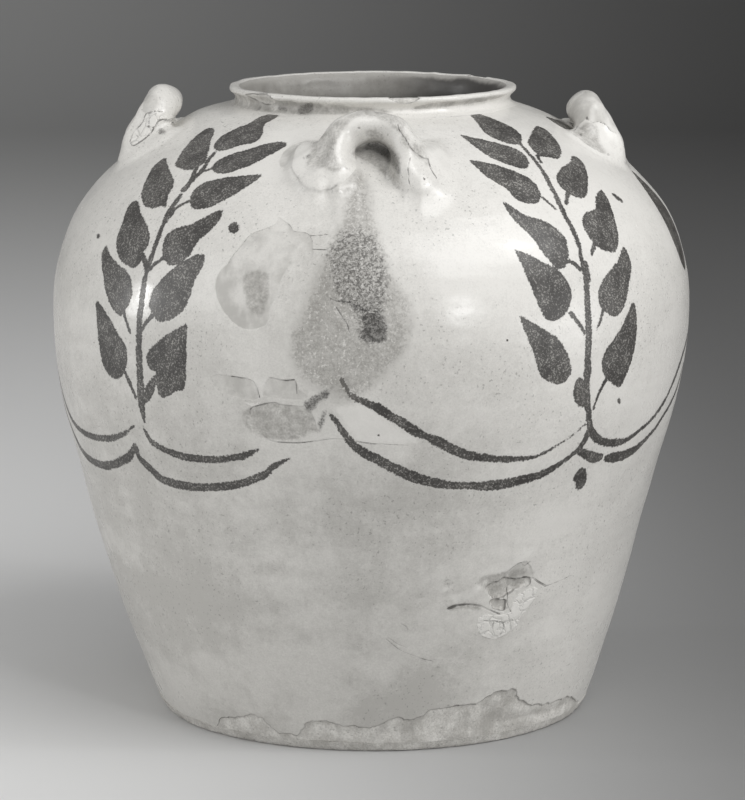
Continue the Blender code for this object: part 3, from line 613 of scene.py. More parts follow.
CRACKS = tapered(
    (1.1, 0.6, 16.4, 82.6, 17.6, 83.7, 20.4, 84, 23.5, 82.4, 25.5, 79.8, 28.2, 76.6),
    (1.6, 1, 16.6, 82.6, 17.6, 83.3),
    (0.5, 1, 26.7, 94.5, 28.1, 96.2, 30.6, 95.4, 33.3, 94.8, 35.3, 94.4, 37, 91.7, 39.1, 88.6),
    (0.4, 0, 39.1, 88.6, 41.2, 88.9, 43.7, 89.9, 46.8, 91.2),
    (0.3, 0.1, 29.8, 89.9, 29.9, 84.7, 30.1, 80.9, 31.4, 75.6),
    (0.1, 0.1, 29.1, 100, 30.1, 103.1, 31.6, 104.5, 32.7, 102.2, 34.1, 104.2),
    (0.4, 0.3, 24.6, 73.6, 27.1, 72.9, 29.3, 71.5, 31.8, 71.7),
    (0.5, 0.3, 29.3, 71.5, 29.9, 68.3, 29.2, 64),
    (0.3, 0.3, 27.1, 72.9, 27.1, 68.4, 28.1, 63.6),
    (0.3, 0.2, 3.4, 66.4, 6.3, 60.2, 9.2, 56.9, 11.6, 54.3, 13.8, 52.9),
    (0.2, 0.2, 3.9, 67.2, 5.7, 63.8, 8, 61.1),
    (0.3, 0.2, 6.6, 75.2, 7.8, 72.8, 7.9, 69.8),
    (0, 0, -26, 263.4, -25.5, 266.7, -24, 272.5, -22.8, 277.3, -20.2, 280.4, -18.5, 282.5,
     -18.2, 285.6, -17.3, 284.9, -15.5, 282.4, -14.5, 279.8, -12.2, 279.2, -11.2, 277.3,
     -10.7, 274.7),
    (0.1, 0, -11.2, 278, -9.7, 278.4, -7.8, 279.1),
    (0.1, 0.1, -10.7, 271.7, -7.9, 271.9),
    (0.3, 0.4, -20.9, 187.8, -20.6, 191.2, -19.3, 192.8, -16.6, 194.9, -15, 193.8, -12.6, 193.6,
     -10.9, 193.5),
    (0.4, 0.2, -18.7, 177.6, -16.9, 174.6, -12.5, 174.3, -9, 175.7, -5.5, 177.3, -2.1, 175.9,
     0.5, 174.7, 3.3, 174.2, 6.6, 173.4),
    (0.4, 0.3, -10.1, 190.8, -9.3, 185.6, -8.9, 179.7),
    (0.2, 0.3, -24.1, 207.3, -20.6, 206.1, -19.6, 203.1, -19, 197.3),
    (0.3, 0.4, -17.3, 208, -14.7, 206.8, -12.9, 207.3),
    (0.4, 0.3, -12.6, 206.5, -12.4, 200.3),
    (0.4, 0.4, -7.1, 248.5, -5.8, 247.3, -3.7, 246.8, -2, 243.2, -0.8, 242.9, 1.3, 242),
    (0.5, 0.3, -6, 244.3, -4.9, 239.4, -4.1, 235.7, -3.7, 232),
    (0.4, 0.3, -152, 128, -156, 133, -158, 139),
)

# Relief of the walls: the spacing and height of the throwing rings, how deep flakes, pits and
# spalls are, and a low swelling near the left loop, in degrees round the jar and metres from
# its axis

RING_SPACING = 0.0085
RING_HEIGHT = 0.00002
FLAKE_DEPTH = 0.0007
PIT_DEPTH = 0.0013
SPALL_DEPTH = 0.00016
SWELLING_AZIMUTH = -82
SWELLING_TURN = 24
SWELLING_RADIUS = 0.092
SWELLING_WIDTH = 0.011
SWELLING_RISE = 0.0018

# Gentle bumps and dents of the walls: azimuth, level, radius in mm, height in mm

BUMPS = (
    (30, 88, 9, -1.1), (21, 93, 6, 0.7), (30, 106, 7, 0.8),
    (38.5, 82, 8, 0.7), (28, 58, 6, -0.5), (15.7, 96.6, 1.8, -0.6),
    (15.7, 93, 2, 0.3), (3, 307, 6, -0.9), (5, 302, 4, -0.6),
)

# Settings

def length_setting(name, description, default):
    return bpy.props.FloatProperty(
        name=name, description=description, default=default, unit="LENGTH")


def power_setting(name, description, default):
    return bpy.props.FloatProperty(
        name=name, description=description, default=default, unit="POWER")


def colour_setting(name, description, *default):
    return bpy.props.FloatVectorProperty(
        name=name, description=description, default=(*default, 1), subtype="COLOR",
        size=4, min=0, max=1)


class JarSizes(bpy.types.PropertyGroup):
    """Sizes of the jar that follow the solids."""

    height: length_setting("Height", "Height of the jar with its neck", node_top("neck_ring"))
    foot_radius: length_setting("Foot radius", "Radius of the flat foot", 0.1165)
    belly_radius: length_setting(
        "Belly radius", "Largest radius of the body", node_reach("upper_wall"))
    neck_radius: length_setting("Neck radius", "Radius where the neck meets the shoulder", 0.0743)
    neck_height: length_setting("Neck height", "Height of the neck over the shoulder", 0.0095)
    roll_radius: length_setting("Roll radius", "Radius of the clay roll that makes a loop", 0.0079)
    pad_width: length_setting(
        "Pad width", "Width of the clay pressed beside each foot of a loop", 0.0230)
    pad_length: length_setting("Pad length", "Length of that clay, down the shoulder", 0.0330)
    pad_rise: length_setting("Pad rise", "How far that clay stands over the shoulder", 0.0080)
    unevenness: length_setting("Unevenness", "How far the hand-thrown surface wanders", 0.00034)


class JarLooks(bpy.types.PropertyGroup):
    """Colours of the glaze, the brushwork and the bare clay."""

    glaze: colour_setting("Glaze", "Off-white glaze over slip", 0.75, 0.735, 0.70)
    # Worn glaze, stain and pigment also colour the painted shade, and slip the painted highlights
    worn_glaze: colour_setting("Worn glaze", "Duller glaze in worn places", 0.50, 0.488, 0.46)
    slip: colour_setting("Slip", "White slip in scuffed places", 0.80, 0.785, 0.75)
    pigment: colour_setting("Pigment", "Dark brushwork", 0.048, 0.045, 0.042)
    pigment_speck: colour_setting(
        "Pigment specks", "Pale specks in the brushwork", 0.32, 0.31, 0.29)
    stain: colour_setting("Stain", "Stain and dirt soaked into the glaze", 0.20, 0.19, 0.172)
    clay: colour_setting("Bare clay", "Clay where the glaze has flaked off", 0.50, 0.485, 0.455)
    grime_and_shade: colour_setting("Grime", "Dirt in creases, cracks and pinholes", 0.06, 0.056, 0.05)
    gloss: bpy.props.FloatProperty(
        name="Glaze roughness", description="Roughness of the glaze", subtype="FACTOR",
        min=0, max=1, default=0.22)


class StageLooks(bpy.types.PropertyGroup):
    """Floor, backdrop and lamps."""

    floor: colour_setting("Floor", "Pale floor under the jar", 0.76, 0.76, 0.755)
    backdrop: colour_setting("Backdrop", "Darker paper behind the jar", 0.36, 0.36, 0.357)
    # The dim floor and the shade are painted shade where the light falls off to the right
    dim_floor: colour_setting(
        "Dim floor", "Duller side of the floor, at the right", 0.19, 0.19, 0.189)
    shade: colour_setting(
        "Shade", "Darker side of the backdrop, at the right", 0.085, 0.085, 0.084)
    key: power_setting("Key lamp", "Power of the large lamp at the right", 19)
    low: power_setting("Low lamp", "Power of the low lamp at the right", 5.0)
    glint: power_setting(
        "Glint lamp", "Power of the small lamp that makes the glint by the leaves", 1.9)
    window: power_setting("Window lamp", "Power of the small lamp that makes the highlight", 2.4)
    side: power_setting("Side lamp", "Power of the small lamp at the left", 4.5)
    fill: power_setting("Fill lamp", "Power of the large lamp at the left", 4.6)
    ambient: bpy.props.FloatProperty(
        name="Room light", description="Strength of the even light all round", min=0,
        default=0.48)


def sizes():
    return bpy.context.scene.jar_sizes


def looks():
    return bpy.context.scene.jar_looks


# Curves and distances

def unit(vectors):
    """The vectors with a length of 1."""
    return vectors / np.maximum(np.linalg.norm(vectors, axis=-1, keepdims=True), 1e-12)


def through(points, steps, closed=False):
    """A smooth line through the points, with that many steps between each two."""
    points = np.asarray(points, float)
    if closed:
        ends = np.vstack([points[-1:], points, points[:2]])
    else:
        ends = np.vstack([2 * points[0] - points[1], points, 2 * points[-1] - points[-2]])
    before, start, end, after = ends[:-3], ends[1:-2], ends[2:-1], ends[3:]
    t = (np.arange(steps) / steps).reshape(1, -1, 1)
    before, start, end, after = (part[:, None, :] for part in (before, start, end, after))
    line = (start + t * (end - before) / 2
            + t ** 2 * (2 * before - 5 * start + 4 * end - after) / 2
            + t ** 3 * (3 * start - before - 3 * end + after) / 2)
    line = line.reshape(-1, points.shape[1])
    return line if closed else np.vstack([line, points[-1:]])


def segment_distance(points, starts, ends, start_radii, end_radii):
    """Distance from points to the nearest of many tapered segments, less its radius."""
    along = ends - starts
    length = np.maximum((along ** 2).sum(1), 1e-12)
    share = ((points[:, None, :] - starts) * along).sum(2) / length
    share = np.clip(share, 0, 1)
    nearest = starts + share[..., None] * along
    distance = np.linalg.norm(points[:, None, :] - nearest, axis=2)
    return (distance - start_radii - share * (end_radii - start_radii)).min(1)


def line_distance(points, line, radii):
    return segment_distance(points, line[:-1], line[1:], radii[:-1], radii[1:])


def outline_distance(points, corners):
    """Distance of flat points to a closed outline, below zero inside it."""
    nexts = np.roll(corners, -1, 0)
    none = np.zeros(len(corners))
    distance = segment_distance(points, corners, nexts, none, none)
    x, y = points[:, :1], points[:, 1:]
    crosses = (corners[:, 1] > y) != (nexts[:, 1] > y)
    rise = np.where(nexts[:, 1] == corners[:, 1], 1e-12, nexts[:, 1] - corners[:, 1])
    meets = corners[:, 0] + (y - corners[:, 1]) * (nexts[:, 0] - corners[:, 0]) / rise
    inside = (crosses & (x < meets)).sum(1) % 2 == 1
    return np.where(inside, -distance, distance)


def blend(first, second, width):
    """The smaller of two distances, rounded where they are nearly the same."""
    near = np.maximum(width - np.abs(first - second), 0) / width
    return np.minimum(first, second) - near ** 2 * width / 4


def ease(value, low, high):
    """Smoothly from 0 at low to 1 at high."""
    share = np.clip((value - low) / (high - low), 0, 1)
    return share * share * (3 - 2 * share)


def ripple(points, wavelength, seed, waves=12):
    """Smooth unevenness of about -1 to 1, from waves that cross in many directions."""
    draws = np.random.default_rng(seed)
    directions = unit(draws.normal(size=(waves, 3)))
    lengths = wavelength * draws.uniform(0.7, 1.5, waves)
    phases = draws.uniform(0, 2 * math.pi, waves)
    turns = points @ (2 * math.pi * directions / lengths[:, None]).T + phases
    return np.sin(turns).sum(1) / math.sqrt(waves)


# The jar's outer line and places on it

class Outline:
    """The outer line from foot to neck, with its length measured along it."""

    def __init__(self):
        size = sizes()
        neck_level = size.height - size.neck_height
        belly_level = size.height * BELLY_HEIGHT_SHARE
        swelling = size.belly_radius - size.foot_radius
        gathering = size.belly_radius - size.neck_radius
        wall = [(size.foot_radius + swelling * out, belly_level * up) for up, out in WALL_SHARES]
        shoulder = [
            (size.neck_radius + gathering * out, belly_level + (neck_level - belly_level) * up)
            for up, out in SHOULDER_SHARES
        ]
        line = through(wall + shoulder, OUTLINE_STEPS)
        self.r, self.z = line.T
        steps = np.hypot(np.diff(self.r), np.diff(self.z))
        self.length = np.concatenate([[0], np.cumsum(steps)])
        along_r, along_z = np.gradient(self.r), np.gradient(self.z)
        scale = np.hypot(along_r, along_z)
        self.out_r, self.out_z = along_z / scale, -along_r / scale
        self.seam = size.height * SEAM_HEIGHT_SHARE
        self.neck_level = neck_level
        self.belly_level = belly_level

    def radius(self, level):
        return np.interp(level, self.z, self.r)

    def along(self, level):
        """Length along the line up to a level."""
        return np.interp(level, self.z, self.length)

    def at(self, length):
        """Radius, level and outward direction at a length along the line."""
        return tuple(np.interp(length, self.length, values)
                     for values in (self.r, self.z, self.out_r, self.out_z))

    def shoulder_level(self, radius):
        """Level of the shoulder at a radius."""
        return np.interp(-radius, -self.r[self.z > self.belly_level],
                         self.z[self.z > self.belly_level])

    def distance(self, points):
        """Distance of points from the plain outer surface, above zero outside it."""
        radius = np.hypot(points[:, 0], points[:, 1])
        flat = np.stack([radius, points[:, 2]], 1)
        step = 4
        line = np.stack([self.r, self.z], 1)[::step]
        none = np.zeros(len(line))
        distance = line_distance(flat, line, none)
        outside = radius > self.radius(points[:, 2])
        return np.where(outside, distance, -distance)


def place(azimuth, radius, level):
    """Points from an azimuth in radians, a radius and a level."""
    return np.stack([radius * np.sin(azimuth), -radius * np.cos(azimuth),
                     level + 0 * azimuth], -1)


def azimuths(points):
    return np.arctan2(points[..., 0], -points[..., 1])


def all_round():
    """Even azimuths all round the jar, from its back."""
    return np.linspace(-math.pi, math.pi, COLUMNS, endpoint=False)


def lean(points):
    """The points with the walls' sideways lean, kept inside the solids' box."""
    levels, shifts = np.array(LEAN).T * MM
    moved = points.copy()
    moved[..., 0] += np.interp(moved[..., 2], levels, shifts)
    low, high = CAD_BOX
    return np.clip(moved, low, high)


# Brushwork, worn places, painted shade and painted highlights, as distances in millimetres from
# their edges

MARKS = ("brushwork", "stain", "stain_core", "soot_and_shadow", "flaked", "dulled_and_shaded", "cleaned_and_lit", "grimed_and_shaded",
         "paled", "cracked", "inner")

def front_half(azimuth):
    """The azimuth, turned so that the back of the jar repeats the front."""
    return (azimuth + math.pi / 2) % math.pi - math.pi / 2


def near(azimuth, level, places, margin):
    """Which vertices lie within a margin in mm of a table's places."""
    degrees, levels = places[:, :2].T
    spread = np.degrees(margin * MM / NARROW_RADIUS)
    return ((np.degrees(azimuth) > degrees.min() - spread)
            & (np.degrees(azimuth) < degrees.max() + spread)
            & (level > (levels.min() - margin) * MM) & (level < (levels.max() + margin) * MM))


def flatten(outline, azimuth, level, middle):
    """Places near a middle azimuth as flat coordinates in millimetres."""
    return np.stack([outline.radius(level) * (azimuth - middle), outline.along(level)], 1) / MM


def lower_to(marks, picked, values):
    marks[picked] = np.minimum(marks[picked], values)


def outline_marks(outline, azimuth, level, tables, rounding=4, margin=10):
    """Distance in mm to the nearest of some closed outlines."""
    marks = np.full(azimuth.shape, FAR)
    for places in tables:
        picked = near(azimuth, level, places, margin)
        if not picked.any():
            continue
        corners = through(places, rounding, closed=True)
        middle = np.radians(corners[:, 0].mean())
        edge = flatten(outline, np.radians(corners[:, 0]), corners[:, 1] * MM, middle)
        spots = flatten(outline, azimuth[picked], level[picked], middle)
        lower_to(marks, picked, outline_distance(spots, edge))
    return marks


def line_marks(outline, azimuth, level, lines, margin=8):
    """Distance in mm to the edge of the nearest of some lines with a width at each place."""
    marks = np.full(azimuth.shape, FAR)
    for places in lines:
        picked = near(azimuth, level, places, margin)
        if not picked.any():
            continue
        line = through(places, 5)
        middle = np.radians(line[:, 0].mean())
        path = flatten(outline, np.radians(line[:, 0]), line[:, 1] * MM, middle)
        spots = flatten(outline, azimuth[picked], level[picked], middle)
        lower_to(marks, picked, line_distance(spots, path, line[:, 2] / 2))
    return marks


def flaked_marks(outline, azimuth, level, tables, margin=10):
    """Distance in mm to the jagged edges of places where the glaze has come off."""
    marks = outline_marks(outline, azimuth, level, tables, rounding=2, margin=margin)
    picked = marks < margin
    spots = place(azimuth[picked], outline.radius(level[picked]), level[picked])
    marks[picked] += 0.45 * ripple(spots, 0.007, 5) + 0.30 * ripple(spots, 0.003, 6)
    return marks


def wall_marks(outline, azimuth, level):
    """Every brushed or worn place on the walls, and the places of painted shade and painted
    highlights, as distances in mm from its edge.
    """
    folded = front_half(azimuth)
    leaves = outline_marks(outline, folded, level, LEFT_LEAVES + RIGHT_LEAVES)
    blots = outline_marks(outline, azimuth, level, BLOTS)
    lines = line_marks(outline, folded, level, STEMS + SWAGS)
    # Some of these tables hold painted shadow, painted shade and painted highlights
    worn = {"stain": STAINS, "stain_core": STAIN_CORES, "soot_and_shadow": SOOT_AND_SHADOW, "dulled_and_shaded": DULLED_AND_SHADED,
            "cleaned_and_lit": CLEANED_AND_LIT, "grimed_and_shaded": GRIME_AND_SHADE, "paled": PALED}
    marks = {mark: outline_marks(outline, azimuth, level, table, rounding=2)
             for mark, table in worn.items()}
    marks["brushwork"] = np.minimum.reduce([leaves, blots, lines])
    marks["flaked"] = flaked_marks(outline, azimuth, level, FLAKES + PITS)
    marks["cracked"] = line_marks(outline, azimuth, level, CRACKS)
    marks["inner"] = np.full(azimuth.shape, FAR)
    return marks


def plain_marks(count):
    """The same marks for clay that carries none of them."""
    return {name: np.full(count, FAR) for name in MARKS}


# Meshes

def solid(name, points, faces, normals, marks):
    """A smooth mesh with its outward directions and its marks."""
    mesh = bpy.data.meshes.new(name)
    mesh.from_pydata(points.tolist(), [], faces)
    mesh.shade_smooth()
    for mark, values in marks.items():
        layer = mesh.attributes.new(mark, "FLOAT", "POINT")
        layer.data.foreach_set("value", values.astype(np.float32))
    if mesh.validate():
        raise ValueError(f"{name} has broken faces")
    if normals is not None:
        mesh.normals_split_custom_set_from_vertices(normals.tolist())
    return mesh


def ring_faces(index, closed=False):
    """Four-sided faces between rows of vertex numbers that run round the jar and up."""
    below = index if closed else index[:-1]
    above = np.roll(index, -1, 0) if closed else index[1:]
    quads = np.stack([below, np.roll(below, -1, 1), np.roll(above, -1, 1), above], -1)
    return quads.reshape(-1, 4).tolist()


def skin(name, rings, normals=None, closed=False, marks=None):
    """A mesh over rings of points, each joined to the next, closed round or with two ends."""
    count, around = rings.shape[:2]
    points = rings.reshape(-1, 3)
    index = np.arange(count * around).reshape(count, around)
    faces = ring_faces(index, closed)
    flat = None if normals is None else normals.reshape(-1, 3)
    if not closed:
        points = np.vstack([points, rings[0].mean(0), rings[-1].mean(0)])
        first, last = len(points) - 2, len(points) - 1
        faces += [(first, b, a) for a, b in zip(index[0], np.roll(index[0], -1))]
        faces += [(last, a, b) for a, b in zip(index[-1], np.roll(index[-1], -1))]
        if flat is not None:
            flat = np.vstack([flat, normals[0].mean(0), normals[-1].mean(0)])
    values = plain_marks(len(points))
    for mark, places in (marks or {}).items():
        values[mark][:places.size] = places.reshape(-1)
    return solid(name, points, faces, flat, values)


def ring_normals(rings):
    """Outward directions of rings that run up the outer side of a wall."""
    along = np.gradient(rings, axis=0)
    round_it = np.roll(rings, -1, 1) - np.roll(rings, 1, 1)
    return unit(np.cross(round_it, along))


def dress(name, mesh, node, material):
    """A piece that stands for a node of the solids and rides on the jar."""
    old = bpy.data.objects.get(name)
    if old:
        bpy.data.objects.remove(old)
    piece = bpy.data.objects.new(name, mesh)
    bpy.context.scene.collection.objects.link(piece)
    mesh.materials.append(material)
    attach(piece, BODY)
    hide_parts(node)


# Clay of the loops

class Loop:
    """One loop handle and its two pads, as distances from their surfaces."""

    def __init__(self, name, outline):
        self.name = name
        self.outline = outline
        self.number = LOOP_NAMES.index(name)
        self.fillet, self.filled, self.pad_fillet, thickness = FILLETS[name]
        self.turn = self.number * math.pi / 2
        size = sizes()
        gathering = size.belly_radius - size.neck_radius
        (lift, out, aside), *feet = LOOP_SHAPES[name]
        reach = size.neck_radius + gathering * HANDLE_REACH_SHARE
        crown_level = outline.shoulder_level(reach) + HANDLE_RISE + lift * MM
        self.crown = np.array([aside * MM, -reach - out * MM, crown_level])
        down = np.array([0, -math.sin(HANDLE_LEAN), -math.cos(HANDLE_LEAN)])
        self.across = np.array([0, -math.cos(HANDLE_LEAN), math.sin(HANDLE_LEAN)])
        self.path, self.radii = self.roll(down, feet, size.roll_radius * thickness)
        self.pads = [self.pad(side, size, gathering) for side in (-1, 1)]
        self.presses = PRESSES[name]

    def roll(self, down, feet, radius):
        """The roll's middle line and radii, from the left foot to the right one."""
        side = np.array([1.0, 0, 0])
        centre = self.crown + HANDLE_ARCH * down
        angles = np.linspace(0, math.pi, ARCH_PLACES)[:, None]
        wide = np.sign(np.cos(angles)) * np.abs(np.cos(angles)) ** ARCH_FLATNESS
        arch = centre - HANDLE_ARCH * (wide * side + np.sin(angles) ** ARCH_FLATNESS * down)
        shares = np.arange(1, LEG_PLACES + 1) / LEG_PLACES
        leans = HANDLE_LEAN - HANDLE_LEG_TURN * shares
        moves = np.stack([0 * leans, -np.sin(leans), -np.cos(leans)], 1)
        moves = moves * HANDLE_LEG / LEG_PLACES
        leg = centre * np.array([0, 1, 1]) + HANDLE_ARCH * side + np.cumsum(moves, 0)
        leg[:, 0] += HANDLE_SPLAY * shares ** 2
        legs = []
        for direction, foot in zip((-1, 1), feet):
            moved = leg * np.array([direction, 1, 1])
            moved[:, 0] += self.crown[0]
            legs.append(moved + shares[:, None] * np.array(foot) * MM)
        path = np.vstack([legs[0][::-1], arch, legs[1]])
        flare = 1 + (HANDLE_FLARE - 1) * shares
        radii = radius * np.concatenate([flare[::-1], np.ones(len(arch)), flare])
        seed = self.number
        wander = np.stack([ripple(path, 0.030, seed * 7 + k) for k in range(3)], 1)
        path = path + CLAY_WANDER * wander
        radii = radii * (1 + THICKNESS_WANDER * ripple(path, 0.024, seed + 50))
        return path, radii

    def pad(self, side, size, gathering):
        """Middle, axes and half sizes of the clay beside one foot."""
        reach = size.neck_radius + gathering * PAD_REACH_SHARE
        draws = np.random.default_rng(self.number * 2 + (side > 0) + 11)
        reach = reach + draws.uniform(-PAD_STRAY, PAD_STRAY)
        *shares, shift = PAD_SHAPES[self.name][side > 0]
        offset = PAD_OFFSET * side + shift * MM
        distance = math.hypot(reach, offset)
        level = self.outline.shoulder_level(distance)
        step = size.pad_length / 4
        fall = (self.outline.shoulder_level(distance - step)
                - self.outline.shoulder_level(distance + step)) / (2 * step)
        away = np.array([offset, -reach, 0]) / distance
        slope = away - np.array([0, 0, fall])
        slope /= np.linalg.norm(slope)
        around = np.cross([0, 0, 1], away)
        normal = np.cross(slope, around)
        turn = side * math.radians(draws.uniform(*PAD_TURN))
        around, slope = (around * math.cos(turn) + slope * math.sin(turn),
                         slope * math.cos(turn) - around * math.sin(turn))
        halves = np.array([size.pad_width / 2, size.pad_length / 2, size.pad_rise])
        halves = halves * draws.uniform(SMALLEST_PAD, 1.0, 3) * shares
        return np.array([offset, -reach, level]), np.stack([around, slope, normal]), halves

    def joint_width(self, points):
        """How wide the clay is smoothed: narrow under the crown, wide at the feet."""
        x = points[:, 0] - self.crown[0]
        beside = np.maximum(np.abs(x) - SOONER_START, 0)
        below = self.crown[2] - points[:, 2] + SOONER_SLOPE * beside
        fillet = self.fillet + (self.filled * ease(-x, *INSIDE_LEFT[0])
                                * (1 - ease(-x, *INSIDE_LEFT[1])))
        late = 0
        if self.name == "front":
            fillet = fillet + BEYOND_WIDTH * ease(np.abs(x), *BEYOND_LEGS)
            late = ease(x, *INSIDE_RIGHT[0]) * (1 - ease(x, *INSIDE_RIGHT[1]))
        share = np.clip((below - GROWTH_START - LATE_START * late)
                        / (GROWTH_HEIGHT - LATE_HEIGHT * late), 0, 1)
        return UNDER_CROWN + (fillet - UNDER_CROWN) * share * share * (3 - 2 * share)

    def roll_distance(self, points):
        squeeze = 1 - 1 / HANDLE_WIDENING
        flat = points - squeeze * ((points - self.crown) @ self.across)[:, None] * self.across
        path = self.path
        path = path - squeeze * ((path - self.crown) @ self.across)[:, None] * self.across
        dents = CLAY_WANDER * ripple(points, 0.014, self.number + 90)
        return line_distance(flat, path, self.radii) - dents

    def pad_distance(self, points, side):
        centre, axes, halves = self.pads[side]
        local = (points - centre) @ axes.T
        first = np.linalg.norm(local / halves, axis=1)
        second = np.maximum(np.linalg.norm(local / halves ** 2, axis=1), 1e-6)
        lumps = CLAY_WANDER * ripple(points, 0.012, side + 70)
        return first * (first - 1) / second - lumps

    def pressed(self, points, distance):
        """The clay's distance where thumbs have flattened it."""
        for middle, thumb, soft in self.presses:
            ball = np.linalg.norm(points - np.array(middle) * MM, axis=1) - thumb * MM
            distance = -blend(-distance, ball, soft * MM)
        return distance

    def parts(self, points):
        """Distances to the roll, the left pad and the right pad."""
        return [self.roll_distance(points), self.pad_distance(points, 0),
                self.pad_distance(points, 1)]

    def clay(self, points):
        """Distance to the roll and the pads, joined and pressed."""
        roll, left, right = self.parts(points)
        joined = blend(blend(roll, left, self.pad_fillet), right, self.pad_fillet)
        return self.pressed(points, joined)

    def whole(self, points):
        """Distance to that clay joined to the shoulder."""
        return blend(self.clay(points), self.outline.distance(points),
                     self.joint_width(points))

    def turned(self, points, back=False):
        """Points turned from the front to this loop's quarter, or back to the front."""
        angle = -self.turn if back else self.turn
        turn = np.array([[math.cos(angle), -math.sin(angle), 0],
                         [math.sin(angle), math.cos(angle), 0], [0, 0, 1]])
        return points @ turn.T


def settle(points, directions, field, lowest, highest, rounds=8):
    """Points moved along their directions to where the field is zero."""
    nudge, flattest, longest = 0.0001, 0.35, 0.002
    moved = np.zeros(len(points))
    for _ in range(rounds):
        spots = points + moved[:, None] * directions
        value = field(spots)
        slope = (field(spots + nudge * directions) - value) / nudge
        slope = np.where(np.abs(slope) < flattest, flattest, slope)
        moved = np.clip(moved - np.clip(value / slope, -longest, longest), lowest, highest)
    return moved


def field_normals(points, field):
    """Outward directions of a distance field."""
    nudge = 0.0002
    steps = [(field(points + nudge * axis) - field(points - nudge * axis)) for axis in np.eye(3)]
    return unit(np.stack(steps, 1))


def fit_clay(loop, rings, ways, part):
    """Rings of one clay part moved to the joined surface, with their outward directions."""
    shape = rings.shape
    points, directions = rings.reshape(-1, 3), ways.reshape(-1, 3)
    depth = loop.outline.distance(points)
    moved = settle(points, directions, loop.whole, -CLAY_MOVE, CLAY_MOVE)
    moved = np.where(depth < -BURIED, 0, moved)
    points = points + moved[:, None] * directions
    normals = field_normals(points, loop.whole)
    parts = [loop.pressed(points, distance) for distance in loop.parts(points)]
    own = parts.pop(part)
    others = np.minimum.reduce([*parts, loop.outline.distance(points)])
    sink = np.clip((own - others) * UNDER_SHARE, 0, UNDER)
    points = points - sink[:, None] * directions
    return points.reshape(shape), normals.reshape(shape)


def roll_rings(loop):
    """Rings round a loop's roll, evenly spaced from foot to foot."""
    steps = np.linalg.norm(np.diff(loop.path, axis=0), axis=1)
    length = np.concatenate([[0], np.cumsum(steps)])
    count = int(length[-1] / ROLL_ROW)
    spots = np.linspace(0, length[-1], count)
    path = np.stack([np.interp(spots, length, axis) for axis in loop.path.T], 1)
    radii = np.interp(spots, length, loop.radii)
    for _ in range(3):
        path[1:-1] = (path[:-2] + 2 * path[1:-1] + path[2:]) / 4
    along = unit(np.gradient(path, axis=0))
    first = unit(loop.across - (along @ loop.across)[:, None] * along)
    second = np.cross(along, first)
    angles = np.linspace(0, 2 * math.pi, ROLL_AROUND, endpoint=False)[None, :, None]
    offsets = HANDLE_WIDENING * np.cos(angles) * first[:, None] + np.sin(angles) * second[:, None]
    return path[:, None] + radii[:, None, None] * offsets, unit(offsets)


def pad_rings(loop, side):
    """Rings over one pad, from its top down into the shoulder."""
    centre, axes, halves = loop.pads[side]
    tilts = np.linspace(0.03, 0.72, PAD_RINGS)[::-1] * math.pi
    angles = -np.linspace(0, 2 * math.pi, PAD_AROUND, endpoint=False)
    ball = np.stack([np.outer(np.sin(tilts), np.cos(angles)),
                     np.outer(np.sin(tilts), np.sin(angles)),
                     np.outer(np.cos(tilts), np.ones(PAD_AROUND))], -1)
    return centre + (ball * halves) @ axes, unit((ball / halves) @ axes)


def seen(points):
    """Where points appear from straight in front, in mm across and up at the jar's middle."""
    away = points - VIEW_PLACE
    forward = np.array([0, math.cos(VIEW_TILT), -math.sin(VIEW_TILT)])
    upward = np.array([0, math.sin(VIEW_TILT), math.cos(VIEW_TILT)])
    flat = np.stack([away[:, 0], away @ upward], 1)
    return flat / (away @ forward)[:, None] * VIEW_REACH / MM


def loop_marks(loop, rings):
    """Worn places, painted shade and painted highlights of one handle, in rings that still face
    the front.
    """
    points = rings.reshape(-1, 3)
    name = loop.name
    if name in ("left", "right"):
        points = loop.turned(points)
    else:
        name = "front"
    hidden = points[:, 1] > WEAR_DEPTH
    spots = seen(lean(points))
    marks = {}
    for mark, rows in LOOP_WEAR_AND_LIGHT[name].items():
        away = [outline_distance(spots, through(corners, 2, closed=True)) for corners in rows]
        marks[mark] = np.where(hidden, FAR, np.minimum.reduce(away))
    away = []
    for line in LOOP_CRACKS[name]:
        line = through(line, 3)
        away.append(line_distance(spots, line[:, :2], line[:, 2] / 2))
    marks["cracked"] = np.where(hidden, FAR, np.minimum.reduce(away))
    return marks


def make_loop(name, outline):
    """The roll and the two pads of one handle."""
    loop = Loop(name, outline)
    pieces = [
        (f"{name}_loop", f"{name}_handle", roll_rings(loop), 0),
        (f"{name}_left_pad", f"{name}_handle_left_lump", pad_rings(loop, 0), 1),
        (f"{name}_right_pad", f"{name}_handle_right_lump", pad_rings(loop, 1), 2),
    ]
    for piece, node, (rings, ways), part in pieces:
        rings, normals = fit_clay(loop, rings, ways, part)
        marks = loop_marks(loop, rings)
        rings, normals = loop.turned(rings), loop.turned(normals)
        mesh = skin(piece, lean(rings), normals, marks=marks)
        dress(piece, mesh, node, glaze_material())


# Walls

